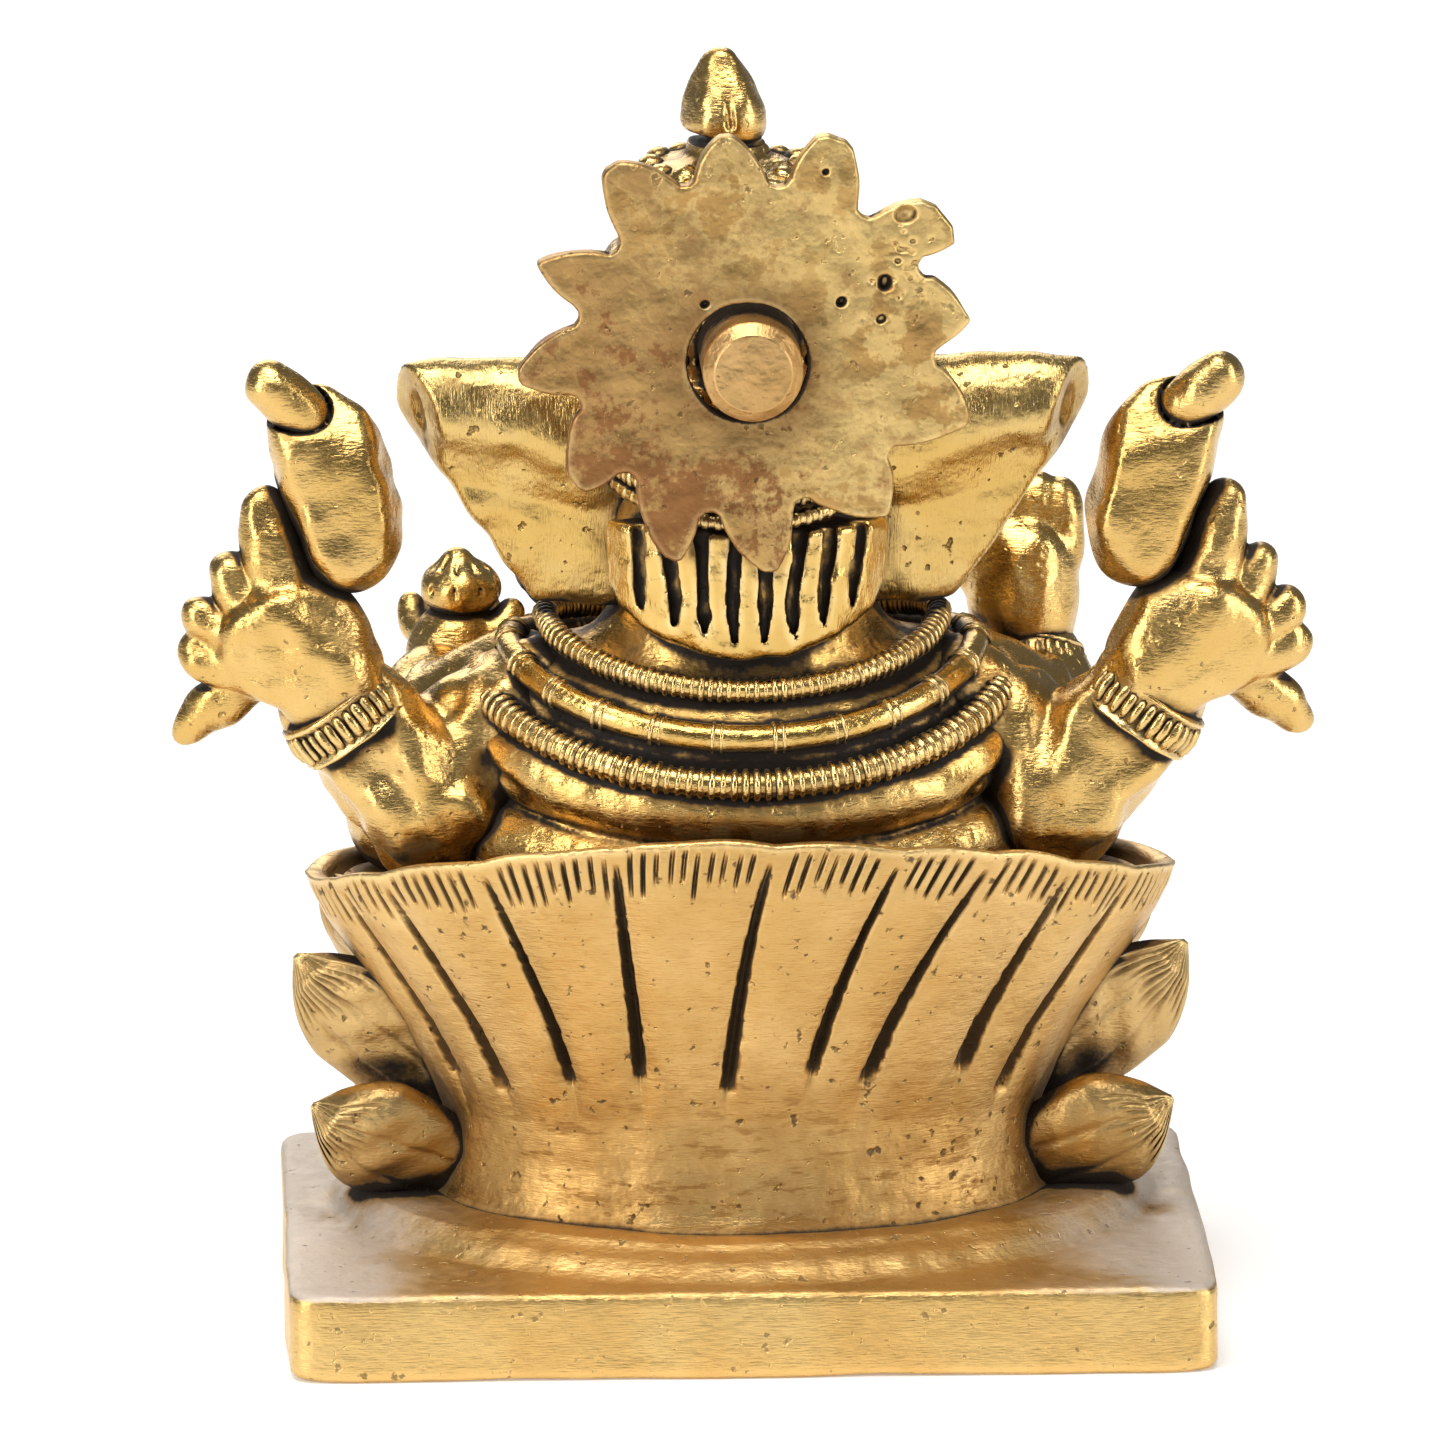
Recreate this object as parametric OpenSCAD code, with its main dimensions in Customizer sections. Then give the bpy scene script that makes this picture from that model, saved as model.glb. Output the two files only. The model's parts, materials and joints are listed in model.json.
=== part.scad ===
// Small cast brass elephant-headed figure, seated on a lotus, with a loose sun disc on a peg behind the head.
// The figure faces -Y, +Z is up, and its left side is +X. The origin is the centre of the slab's underside.

/* [Slab] */
// Width of the slab
slab_w = 63; // [58:1:70]
// Depth of the slab
slab_d = 42; // [40:1:48]
// Thickness of the slab
slab_h = 6.2; // [5:0.1:8]

/* [Lotus] */
// Half width of the lotus where it stands on the slab
foot_rx = 24.5; // [23:0.5:26]
// Half width of the lotus at its rim
rim_rx = 30.5; // [29.5:0.5:32]
// Height of the rim behind the figure
rim_back_z = 37.5; // [36:0.5:39]
// Height of the floor that the figure sits on
seat_z = 29; // [28:0.5:30]

/* [Sun disc] */
// Radius at the tips of the rays
disc_r = 15.2; // [13:0.1:16]
// Number of rays
disc_rays = 12; // [10:1:14]
// Thickness of the disc
disc_t = 1.5; // [1:0.1:1.6]
// Radius of the peg that the disc turns on
peg_r = 3.5; // [3:0.1:3.7]
// Clearance between the peg and the hole, on the radius
peg_gap = 0.1; // [0.03:0.01:0.1]

/* [Ornament] */
// Radius of the lowest necklace cord
cord_r = 1.15; // [0.8:0.05:1.3]
// Number of hair locks behind the head
hair_locks = 9; // [7:2:9]

/* [Hidden] */
brass = "#c79a3c";
pale_brass = "#b9935a";
ball_fn = 12;
small_fn = 8;
hair_top_z = 60;
crown_z = 65.5;
finial_z = 82.6;
lotus_y = -2.5;
rim_side_z = 33;
rim_front_z = 30.5;
rim_wall = 2.4;
peg_z = 70.1;
disc_y = 13.9;
disc_offset = 0.9;
peg_end_y = 18;
shoulder_root_y = 10.9;
shoulder_y = 13.6;
shoulder_stand = 1.3;
peg_chamfer = 0.8;

// ---------- shared forms ----------

// One ball of a limb: [x, y, z, r]
module joint_ball(p, sides = ball_fn) { translate([p[0], p[1], p[2]]) sphere(r = p[3], $fn = sides); }

// A rounded limb through a list of balls
module limb(path, sides = ball_fn) {
    for (i = [0 : len(path) - 2])
        hull() {
            joint_ball(path[i], sides);
            joint_ball(path[i + 1], sides);
        }
}

// A closed form through flat ellipses: [z, centre y, half width, half depth]
module slice(s, sides) {
    translate([0, s[1], s[0]])
        scale([s[2], s[3], 1])
            linear_extrude(height = 0.01) circle(r = 1, $fn = sides);
}

module loft(slices, sides) {
    for (i = [0 : len(slices) - 2])
        hull() {
            slice(slices[i], sides);
            slice(slices[i + 1], sides);
        }
}

function mirrored(path, side) = [for (p = path) [p[0] * side, p[1], p[2], p[3]]];

// ---------- slab ----------

// A rectangle with softened corners and slightly bulging sides
squareness = 9;
function slab_edge(a) =
    let (c = cos(a), s = sin(a))
    let (r = pow(pow(abs(c), squareness) + pow(abs(s), squareness), -1 / squareness))
    [slab_w / 2 * r * c, slab_d / 2 * r * s];

module base_slab() {
    color(brass) linear_extrude(height = slab_h) polygon([for (a = [2.5 : 5 : 357.5]) slab_edge(a)]);
}

// ---------- lotus ----------

// Share of the height, then half width and half depth as shares of the rim's
foot = foot_rx / rim_rx;
cup_steps = [[0, foot, foot + 0.027], [0.2, foot - 0.046, foot - 0.018], [0.45, foot - 0.028, foot + 0.007],
    [0.7, 0.86, 0.885], [0.88, 0.95, 0.96], [1, 1, 1]];
rim_ry = rim_rx * 0.69;
cup_sides = 40;

function rim_z(a) =
    let (s = sin(a))
    s > 0 ? rim_side_z + (rim_back_z - rim_side_z) * pow(s, 1.5)
    : rim_side_z + (rim_side_z - rim_front_z) * s;

function cup_ring(share, wide, deep) = [for (i = [0 : cup_sides - 1])
    let (a = i * 360 / cup_sides)
    [rim_rx * wide * cos(a), lotus_y + rim_ry * deep * sin(a), slab_h + share * (rim_z(a) - slab_h)]];

function inner_ring(wall, floor_z) = [for (i = [0 : cup_sides - 1])
    let (a = i * 360 / cup_sides)
    [(rim_rx - wall) * cos(a), lotus_y + (rim_ry - wall) * sin(a), floor_z > 0 ? floor_z : rim_z(a)]];

// A closed skin through rings of points, with flat ends
module ring_stack(rings) {
    n = len(rings[0]);
    points = [for (ring = rings) each ring];
    bottom = [[for (i = [0 : n - 1]) i]];
    top = [[for (i = [n - 1 : -1 : 0]) (len(rings) - 1) * n + i]];
    walls = [for (k = [0 : len(rings) - 2]) for (i = [0 : n - 1])
        let (j = (i + 1) % n)
        each [[k * n + i, (k + 1) * n + i, (k + 1) * n + j], [k * n + i, (k + 1) * n + j, k * n + j]]];
    polyhedron(points = points, faces = concat(bottom, walls, top), convexity = 6);
}

module cup_form() {
    outer = [for (s = cup_steps) cup_ring(s[0], s[1], s[2])];
    ring_stack(concat(outer, [inner_ring(rim_wall, 0), inner_ring(rim_wall + 2, seat_z)]));
}

// Grooves cut down the back of the cup: angle round the cup near the rim and low down
grooves = [[27, 38], [33, 49], [55, 62], [73, 74], [95.5, 88], [115, 102], [130, 111], [143, 133],
    [154, 144]];
// Share of the height and cutter radius, from the low end of a groove to its top
groove_steps = [[0.4, 0.3], [0.6, 0.6], [0.8, 0.65], [0.95, 0.35]];

function cup_point(a, share, r) = [
    rim_rx * cos(a) * lookup(share, [for (s = cup_steps) [s[0], s[1]]]),
    lotus_y + rim_ry * sin(a) * lookup(share, [for (s = cup_steps) [s[0], s[2]]]),
    slab_h + share * (rim_z(a) - slab_h), r];

module lotus_cup() {
    low = groove_steps[0][0];
    color(brass) difference() {
        cup_form();
        for (g = grooves)
            limb([for (s = groove_steps)
                cup_point(g[1] + (g[0] - g[1]) * (s[0] - low) / (1 - low), s[0], s[1])], 6);
    }
}

// Angle round the lotus that keeps petals evenly spaced along its oval edge
function even(a) = a + 5.3 * sin(2 * a);

// A pointed leaf that leans out of the cup:
// angle round the lotus, root height, tip height, tip reach, half width
petal_root = 0.78;
petal_root_r = 1.4;
petal_edge_r = 1;
petal_tip_r = 0.8;
module petal(a, root_z, tip_z, reach, half) {
    cx = rim_rx * cos(a);
    cy = rim_ry * sin(a);
    turn = atan2(rim_rx * sin(a), rim_ry * cos(a));
    mid = (petal_root + reach) / 2;
    translate([0, lotus_y, 0])
        for (end = [[petal_root, root_z, petal_root_r, 0.7], [reach, tip_z, petal_tip_r, 0.1]])
            hull()
                for (w = [-half, half]) {
                    joint_ball([cx * mid - w * sin(turn), cy * mid + w * cos(turn), (root_z + tip_z) / 2,
                        petal_edge_r], small_fn);
                    joint_ball([cx * end[0] - w * end[3] * sin(turn), cy * end[0] + w * end[3] * cos(turn),
                        end[1], end[2]], small_fn);
                }
}

// A row of petals centred on the front: how many, angle from one to the next, then as for one petal
module petal_row(count, step, root_z, tip_z, reach, half) {
    for (i = [0 : count - 1])
        petal(even(270 + (i - (count - 1) / 2) * step), root_z, tip_z, reach, half);
}

module upper_petals() { petal_row(7, 27, 21.5, 28.4, 1.04, 4); }

module middle_petals() { petal_row(8, 26.3, 16, 24, 1.08, 3.9); }

module lower_petals() { petal_row(8, 27.9, 9.5, 13.6, 1.01, 3.3); }

module petal_cut() {
    cup_form();
    translate([-50, -50, -10]) cube([100, 100, 10 + slab_h]);
}

module lotus_petals_upper() {
    color(brass) difference() {
        upper_petals();
        petal_cut();
    }
}

module lotus_petals_middle() {
    color(brass) difference() {
        middle_petals();
        petal_cut();
        upper_petals();
    }
}

module lotus_petals_lower() {
    color(brass) difference() {
        lower_petals();
        petal_cut();
        middle_petals();
    }
}

// ---------- body ----------

torso_slices = [[29, 0, 17, 12], [32, 0, 19, 13], [36, 0, 20, 14], [39, 0, 20, 14], [42, 0, 19.4, 13.4],
    [45, 0, 17.4, 12], [47.5, 0, 14, 10.4], [49.5, 0, 10.5, 9], [51.5, 0, 8.5, 7.5]];

module torso_form() { loft(torso_slices, 28); }

module torso() { color(brass) torso_form(); }

belly_slices = [[31, -8, 8, 7.5], [33, -8, 10.5, 9], [36, -8, 12.6, 10.6], [39, -8, 13, 11],
    [42, -7.5, 12.2, 10], [45, -6.8, 10, 8], [47, -6, 7, 6]];

module belly_form() { loft(belly_slices, 24); }

module belly() {
    color(brass) difference() {
        belly_form();
        torso_form();
    }
}

function leg_path(side) = mirrored([[12, -7, 33.4, 4.4], [22, -7.5, 33.2, 4.2], [22.5, -10, 33, 4],
    [16, -15.5, 32.6, 3.5], [8, -18, 32.2, 3]], side);
function foot_path(side) = mirrored([[8, -18.6, 32, 2.6], [3.6, -19.4, 31.6, 2.3]], side);

module leg_form(side) { limb(leg_path(side)); }

module seat_cut() {
    torso_form();
    belly_form();
    cup_form();
}

module leg(side) {
    color(brass) difference() {
        leg_form(side);
        seat_cut();
    }
}

module left_leg() { leg(1); }

module right_leg() { leg(-1); }

module foot(side) {
    color(brass) difference() {
        limb(foot_path(side));
        leg_form(side);
        seat_cut();
    }
}

module left_foot() { foot(1); }

module right_foot() { foot(-1); }

// ---------- thread and necklaces ----------

// A loop round the torso that hangs lower behind and in front than over the shoulders:
// half width, half depth, height behind, height over the shoulders, height in front, cord radius
function loop_path(rx, ry, back, side, front, r) = [for (a = [0 : 18 : 360])
    let (s = sin(a))
    [rx * cos(a), (s > 0 ? ry : ry * 1.12) * s,
        side + ((s > 0 ? back : front) - side) * pow(abs(s), 1.4), r]];

module upper_loop() { limb(loop_path(13.7, 11.3, 46.4, 49.2, 46.8, cord_r * 0.8), small_fn); }

module middle_loop() { limb(loop_path(16.2, 13, 43.4, 47.4, 45, cord_r * 0.9), small_fn); }

module lower_loop() { limb(loop_path(18.3, 14.2, 40.4, 45.1, 44.6, cord_r), small_fn); }

// What the necklaces are cut back to: the body and the four arms
module necklace_cut() {
    torso_form();
    belly_form();
    for (side = [-1, 1]) rear_arm_form(side);
    limb(left_front_path);
    limb(right_front_path);
}

module necklace_upper() {
    color(brass) difference() {
        upper_loop();
        torso_form();
        belly_form();
    }
}

module necklace_middle() {
    color(brass) difference() {
        middle_loop();
        necklace_cut();
        upper_loop();
    }
}

module necklace_lower() {
    color(brass) difference() {
        lower_loop();
        necklace_cut();
        middle_loop();
    }
}

thread_path = [[11.5, -10.2, 45, 0.8], [9, -14.2, 42.5, 0.8], [4, -18, 40, 0.8], [-2, -19, 37.5, 0.8],
    [-7.5, -17, 34.8, 0.8]];

module thread_form() { limb(thread_path, small_fn); }

module sacred_thread() {
    color(brass) difference() {
        thread_form();
        torso_form();
        belly_form();
        middle_loop();
        lower_loop();
        leg_form(-1);
        limb(foot_path(-1));
    }
}

// ---------- rear arms ----------

function rear_arm_path(side) = mirrored([[14.5, 1.5, 43.5, 4.2], [20, 1, 39, 4.4], [22, 1.5, 36.4, 4.6],
    [24.5, 3, 39, 4.3], [26.8, 4.2, 42, 3.9], [28.4, 4.8, 44.4, 3.6]], side);

module rear_arm_form(side) { limb(rear_arm_path(side)); }

module rear_arm(side) {
    color(brass) difference() {
        rear_arm_form(side);
        torso_form();
        cup_form();
    }
}

module left_rear_arm() { rear_arm(1); }

module right_rear_arm() { rear_arm(-1); }

// A ring with a rounded section:
// its centre, its turn from +Z, ring radius, half height, how far it stands out
module bangle_form(at, turn, ring_r, half_h, stand) {
    translate(at) rotate(turn)
        rotate_extrude($fn = 20)
            polygon([[1, -half_h], [ring_r, -half_h], [ring_r + stand, -half_h / 2],
                [ring_r + stand, half_h / 2], [ring_r, half_h], [1, half_h]]);
}

rear_bangle = [27.7, 4.5, 43.3];
module rear_bangle_form(side) {
    bangle_form([side * rear_bangle[0], rear_bangle[1], rear_bangle[2]], [0, side * 34, 0], 4.2, 1.5, 0.9);
}

module rear_bracelet(side) {
    color(brass) difference() {
        rear_bangle_form(side);
        rear_arm_form(side);
        rear_hand_form(side);
    }
}

module left_rear_bracelet() { rear_bracelet(1); }

module right_rear_bracelet() { rear_bracelet(-1); }

// Palm first, then one short path for each finger and the thumb
rear_palm = [[29.4, 5, 46.4, 3.5], [31.2, 5, 49, 4], [33, 5, 48.6, 3.4]];
rear_fingers = [[[31.5, 5, 51, 2], [33.6, 4.5, 54.6, 1.7], [34.2, 4, 57, 1.4]],
    [[33.5, 5, 50, 2], [35.8, 4.5, 52.8, 1.4]],
    [[34.5, 5, 48.4, 2], [37, 4.5, 50, 1.3]],
    [[34.5, 5, 46.8, 1.8], [37.6, 4.5, 47.2, 1.2]],
    [[34.6, 4, 45.6, 1.5], [37.4, 3.6, 43.4, 1.4], [38.6, 3.4, 42, 0.9]]];

module rear_hand_form(side) {
    limb(mirrored(rear_palm, side));
    for (f = rear_fingers) limb(mirrored(f, side), small_fn);
}

module rear_hand(side) {
    color(brass) difference() {
        rear_hand_form(side);
        rear_arm_form(side);
    }
}

module left_rear_hand() { rear_hand(1); }

module right_rear_hand() { rear_hand(-1); }

emblem_path = [[28.2, 5, 54.2, 2.4], [28.6, 5, 57, 4.1], [29.6, 5, 60.4, 3.6], [30.8, 5, 63.2, 2.4]];
knob_path = [[31.2, 5, 65, 2.2], [33, 5, 66.6, 2]];

module emblem(side) {
    color(brass) difference() {
        union() {
            intersection() {
                limb(mirrored(emblem_path, side));
                translate([-50, 2, 0]) cube([100, 6.6, 100]);
            }
            limb(mirrored(knob_path, side));
        }
        rear_hand_form(side);
    }
}

module noose() { emblem(1); }

module axe() { emblem(-1); }

// ---------- front arms ----------

left_front_path = [[15.5, -4, 43, 4], [20.5, -6.5, 39.5, 3.8], [22.2, -8, 38, 3.7], [21.5, -11, 39.5, 3.2],
    [20.6, -13, 41, 2.8]];
right_front_path = [[-15.5, -4, 43, 4], [-20.5, -6.5, 39.5, 3.8], [-22.2, -8, 38, 3.7],
    [-21.6, -11, 40.4, 3.2], [-21, -12.5, 43, 2.8]];

module front_arm(path, side) {
    color(brass) difference() {
        limb(path);
        torso_form();
        belly_form();
        leg_form(side);
        rear_arm_form(side);
        cup_form();
    }
}

module left_front_arm() { front_arm(left_front_path, 1); }

module right_front_arm() { front_arm(right_front_path, -1); }

module left_front_bangle_form() { bangle_form([21, -12.1, 40.3], [52, 0, -10], 3.3, 1.1, 0.7); }

module right_front_bangle_form() { bangle_form([-21.2, -12, 42.2], [32, 0, 0], 3.2, 1.1, 0.7); }

module left_front_bracelet() {
    color(brass) difference() {
        left_front_bangle_form();
        limb(left_front_path);
        left_front_hand_form();
        leg_form(1);
    }
}

module right_front_bracelet() {
    color(brass) difference() {
        right_front_bangle_form();
        limb(right_front_path);
        right_front_hand_form();
    }
}

module left_front_hand_form() {
    limb([[20.3, -14.2, 42, 2.6], [19.6, -15.6, 43.4, 3], [18.6, -16.4, 44, 2.4]]);
    for (f = [0 : 3]) limb([[17.4 + f * 1.6, -17.4, 44, 1.1], [17.2 + f * 1.9, -19.4, 45.2, 1]], small_fn);
    limb([[17.2, -14.6, 44, 1.3], [15.6, -15.4, 45.4, 1.1]], small_fn);
}

module left_front_hand() {
    color(brass) difference() {
        left_front_hand_form();
        limb(left_front_path);
        belly_form();
        trunk_form();
    }
}

module right_front_hand_form() {
    limb([[-20.8, -13.2, 45, 2.6], [-20.4, -13.4, 47.5, 3.1], [-20.4, -13.4, 49.4, 2.9]]);
    for (f = [0 : 3])
        limb([[-22.9 + f * 1.7, -13.4, 50.4, 1.2],
            [-23 + f * 1.8, -13.6, 55.4 - abs(f - 1.6) * 0.6, 1]], small_fn);
    limb([[-18.4, -13.6, 47.4, 1.5], [-16.6, -14.4, 50.4, 1.1]], small_fn);
}

module right_front_hand() {
    color(brass) difference() {
        right_front_hand_form();
        limb(right_front_path);
    }
}

sweet_profile = [[0, 0], [2.2, 0.3], [2.9, 1.6], [2.6, 2.9], [1.5, 4], [0.7, 4.7], [0, 5.2]];

module sweet() {
    color(brass) difference() {
        translate([19.2, -15.6, 45.6]) rotate_extrude($fn = 24) polygon(sweet_profile);
        left_front_hand_form();
        trunk_form();
    }
}

// ---------- head ----------

head_slices = [[50, -1, 8.8, 8.6], [52, -1.2, 9.6, 9.4], [55, -1.6, 10.2, 10], [58, -1.8, 10.6, 10.4],
    [60, -1.8, 10.7, 10.6], [62, -1.6, 10.6, 10.5], [64, -1.2, 10.2, 10], [65.49, -0.9, 9.8, 9.5]];

module head_form() { loft(head_slices, 28); }

module head() {
    color(brass) difference() {
        head_form();
        torso_form();
        upper_loop();
    }
}

trunk_path = [[0, -9.5, 57.5, 4.2], [0, -13, 54.5, 3.7], [0, -15.6, 51, 3.3], [0.4, -17.2, 47.4, 3],
    [2.4, -18.6, 44.2, 2.7], [6, -19, 43, 2.4], [9.6, -18.6, 44, 2.1], [11.8, -18.2, 46.4, 1.9],
    [13.6, -17.8, 48.2, 1.7]];

module trunk_form() { limb(trunk_path); }

module trunk() {
    color(brass) difference() {
        trunk_form();
        head_form();
        belly_form();
        torso_form();
        upper_loop();
        middle_loop();
        lower_loop();
        thread_form();
    }
}

function tusk_path(side) = mirrored([[3.4, -10.6, 53.6, 1.3], [5, -13.6, 52.4, 1.1],
    [6.2, -16.6, 52.8, 0.7]], side);

module tusk(side) {
    color(pale_brass) difference() {
        limb(tusk_path(side), small_fn);
        head_form();
        trunk_form();
    }
}

module left_tusk() { tusk(1); }

module right_tusk() { tusk(-1); }

// Root edge and outer edge of an ear, from the top down, as [x, y, z, r]
ear_root = [[10, 1, 65.6, 1.7], [10, 1, 63, 1.9], [10.4, 1, 60, 2], [10.4, 1, 57, 2], [10, 1, 54, 1.9],
    [9.6, 1, 51.8, 1.6]];
ear_edge = [[21.4, 3, 66.1, 1.3], [22, 3, 63.6, 1.3], [20.6, 2.4, 60, 1.2], [18.6, 2, 56.6, 1.2],
    [16.6, 1.8, 53.6, 1.2], [14.2, 1.4, 51.6, 1.2]];

module ear_form(side) {
    root = mirrored(ear_root, side);
    edge = mirrored(ear_edge, side);
    for (i = [0 : len(root) - 2])
        hull() {
            joint_ball(root[i]);
            joint_ball(root[i + 1]);
            joint_ball(edge[i]);
            joint_ball(edge[i + 1]);
        }
}

module ear(side) {
    color(brass) difference() {
        ear_form(side);
        head_form();
        torso_form();
        upper_loop();
        crown_form();
    }
}

module left_ear() { ear(1); }

module right_ear() { ear(-1); }

hair_spread = 17.9;
lock_r = 1;

module hair() {
    pitch = hair_spread / (hair_locks - 1);
    color(brass) difference() {
        for (i = [0 : hair_locks - 1]) {
            x = (i - (hair_locks - 1) / 2) * pitch;
            back = 10.6 - x * x * 0.05;
            limb([[x * 0.86, back - 1.6, hair_top_z, lock_r * 0.9], [x, back, 53.5, lock_r],
                [x * 0.97, back + 0.6, 50.2 + x * x * 0.02, lock_r]], small_fn);
        }
        head_form();
        torso_form();
        ear_form(1);
        ear_form(-1);
        upper_loop();
    }
}

// ---------- crown ----------

crown_profile = [[0, 0], [10.4, 0], [10.8, 0.7], [10.8, 1.7], [10.2, 2.3], [9.9, 4], [10.3, 6], [10.4, 8.5],
    [9.8, 11], [8.4, 12.8], [6.4, 13.6], [6, 14.2], [6.3, 15], [5.6, 15.7], [3, 16], [2.7, 17.1], [0, 17.1]];

module crown_form() { translate([0, 0, crown_z]) rotate_extrude($fn = 64) polygon(crown_profile); }

module crown() {
    color(brass) difference() {
        crown_form();
        translate([0, 0, peg_z]) rotate([-90, 0, 0]) cylinder(r = peg_r, h = 20, $fn = 48);
    }
}

finial_profile = [[0, 0], [2.6, 0], [3.1, 0.8], [3, 1.8], [2.2, 4], [1.5, 5.8], [0.9, 6.6], [0, 6.8]];

module crown_finial() {
    color(brass) translate([0, 0, finial_z]) rotate_extrude($fn = 48) polygon(finial_profile);
}

// ---------- peg and sun disc ----------

// Peg cast with the crown: plain root, a shoulder that stands the disc off, and a chamfered end
peg_profile = [[0, 0], [peg_r, 0], [peg_r, shoulder_root_y], [peg_r + shoulder_stand, shoulder_root_y],
    [peg_r + shoulder_stand, shoulder_y], [peg_r, shoulder_y], [peg_r, peg_end_y - peg_chamfer],
    [peg_r - peg_chamfer, peg_end_y], [0, peg_end_y]];

module halo_peg() {
    color(pale_brass) translate([0, 0, peg_z]) rotate([-90, 0, 0])
        rotate_extrude($fn = 48) polygon(peg_profile);
}

ray_depth = 3.6;
function ray_radius(a) =
    let (t = abs((a * disc_rays / 360) % 1 - 0.5) * 2)
    disc_r - ray_depth * pow(1 - t, 0.75);

module halo_disc() {
    color(pale_brass) translate([0, disc_y, peg_z]) rotate([-90, 0, 0])
        difference() {
            linear_extrude(height = disc_t) translate([0, -disc_offset])
                polygon([for (a = [0 : 3 : 357]) ray_radius(a) * [cos(a), sin(a)]]);
            translate([0, 0, -1]) cylinder(r = peg_r + peg_gap, h = disc_t + 2, $fn = 48);
        }
}

base_slab();
lotus_cup();
lotus_petals_upper();
lotus_petals_middle();
lotus_petals_lower();
torso();
belly();
left_leg();
right_leg();
left_foot();
right_foot();
sacred_thread();
necklace_upper();
necklace_middle();
necklace_lower();
left_rear_arm();
right_rear_arm();
left_rear_bracelet();
right_rear_bracelet();
left_rear_hand();
right_rear_hand();
noose();
axe();
left_front_arm();
right_front_arm();
left_front_bracelet();
right_front_bracelet();
left_front_hand();
right_front_hand();
sweet();
head();
trunk();
left_tusk();
right_tusk();
left_ear();
right_ear();
hair();
crown();
crown_finial();
halo_peg();
halo_disc();
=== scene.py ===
import json
import math

import bpy
import numpy as np
import openvdb
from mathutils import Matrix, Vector

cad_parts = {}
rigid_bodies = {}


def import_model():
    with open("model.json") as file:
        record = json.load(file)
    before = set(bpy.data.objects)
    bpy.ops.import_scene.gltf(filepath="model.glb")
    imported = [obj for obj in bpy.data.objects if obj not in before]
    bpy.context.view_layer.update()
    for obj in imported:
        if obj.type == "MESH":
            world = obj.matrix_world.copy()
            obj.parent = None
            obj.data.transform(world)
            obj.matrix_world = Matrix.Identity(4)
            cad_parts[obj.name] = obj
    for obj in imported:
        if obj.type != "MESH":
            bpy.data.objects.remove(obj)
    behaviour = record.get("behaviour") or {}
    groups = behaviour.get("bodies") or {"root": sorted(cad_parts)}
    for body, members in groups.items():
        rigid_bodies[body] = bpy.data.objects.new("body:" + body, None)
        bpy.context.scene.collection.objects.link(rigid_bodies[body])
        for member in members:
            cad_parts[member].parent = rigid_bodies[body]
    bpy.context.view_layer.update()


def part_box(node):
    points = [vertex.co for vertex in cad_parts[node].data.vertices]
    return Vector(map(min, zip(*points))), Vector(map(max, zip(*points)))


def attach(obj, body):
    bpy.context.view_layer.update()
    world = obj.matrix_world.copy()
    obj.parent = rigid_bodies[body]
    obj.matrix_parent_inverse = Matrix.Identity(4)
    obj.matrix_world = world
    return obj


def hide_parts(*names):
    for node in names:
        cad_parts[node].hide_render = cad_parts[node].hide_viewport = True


for leftover in list(bpy.data.objects):
    bpy.data.objects.remove(leftover)
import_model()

# ---------------------------------------------------------------------------
# Table, camera and studio light. A white table top that runs out of view, two
# soft boxes and an overhead one, and a long lens that looks at the idol's back.
# ---------------------------------------------------------------------------
scene = bpy.context.scene
AIM_HEIGHT = 0.0415
CAMERA_DISTANCE = 0.90
CAMERA_AZIMUTH, CAMERA_RISE = math.radians(177.5), math.radians(14)
TABLE_HALF = 3.0
TABLE_WHITE = (0.93, 0.93, 0.93, 1)

camera_data = bpy.data.cameras.new("product_camera")
camera_data.lens = 322.0
camera_data.sensor_width = 36
camera_data.shift_x, camera_data.shift_y = -0.0135, -0.0017
camera_data.clip_end = 20
camera = bpy.data.objects.new("product_camera", camera_data)
scene.collection.objects.link(camera)
to_camera = Vector((math.sin(CAMERA_AZIMUTH) * math.cos(CAMERA_RISE),
                    -math.cos(CAMERA_AZIMUTH) * math.cos(CAMERA_RISE), math.sin(CAMERA_RISE)))
camera.location = Vector((0, 0, AIM_HEIGHT)) + to_camera * CAMERA_DISTANCE
camera.rotation_euler = to_camera.to_track_quat("Z", "Y").to_euler()
scene.camera = camera
scene.view_settings.view_transform = "Standard"

studio = bpy.data.worlds.new("studio")
scene.world = studio
studio.use_nodes = True
sky = studio.node_tree.nodes["Background"]
sky.inputs["Color"].default_value = (0.93, 0.96, 1.0, 1)
sky.inputs["Strength"].default_value = 0.17


def soft_box(name, place, aim, width, height, power):
    lamp = bpy.data.lights.new(name, "AREA")
    lamp.shape = "RECTANGLE"
    lamp.size, lamp.size_y = width, height
    lamp.energy = power
    box = bpy.data.objects.new(name, lamp)
    box.location = place
    box.rotation_euler = (Vector(place) - Vector(aim)).to_track_quat("Z", "Y").to_euler()
    scene.collection.objects.link(box)


soft_box("overhead_box", (0.05, 0.16, 0.62), (0, 0, 0.03), 0.42, 0.34, 3.1)
soft_box("left_box", (0.55, 0.42, 0.30), (0, 0, 0.04), 0.26, 0.46, 2.5)
soft_box("right_box", (-0.60, 0.30, 0.26), (0, 0, 0.04), 0.24, 0.46, 1.8)
soft_box("front_box", (0.10, -0.60, 0.40), (0, 0, 0.04), 0.5, 0.5, 1.8)

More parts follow.
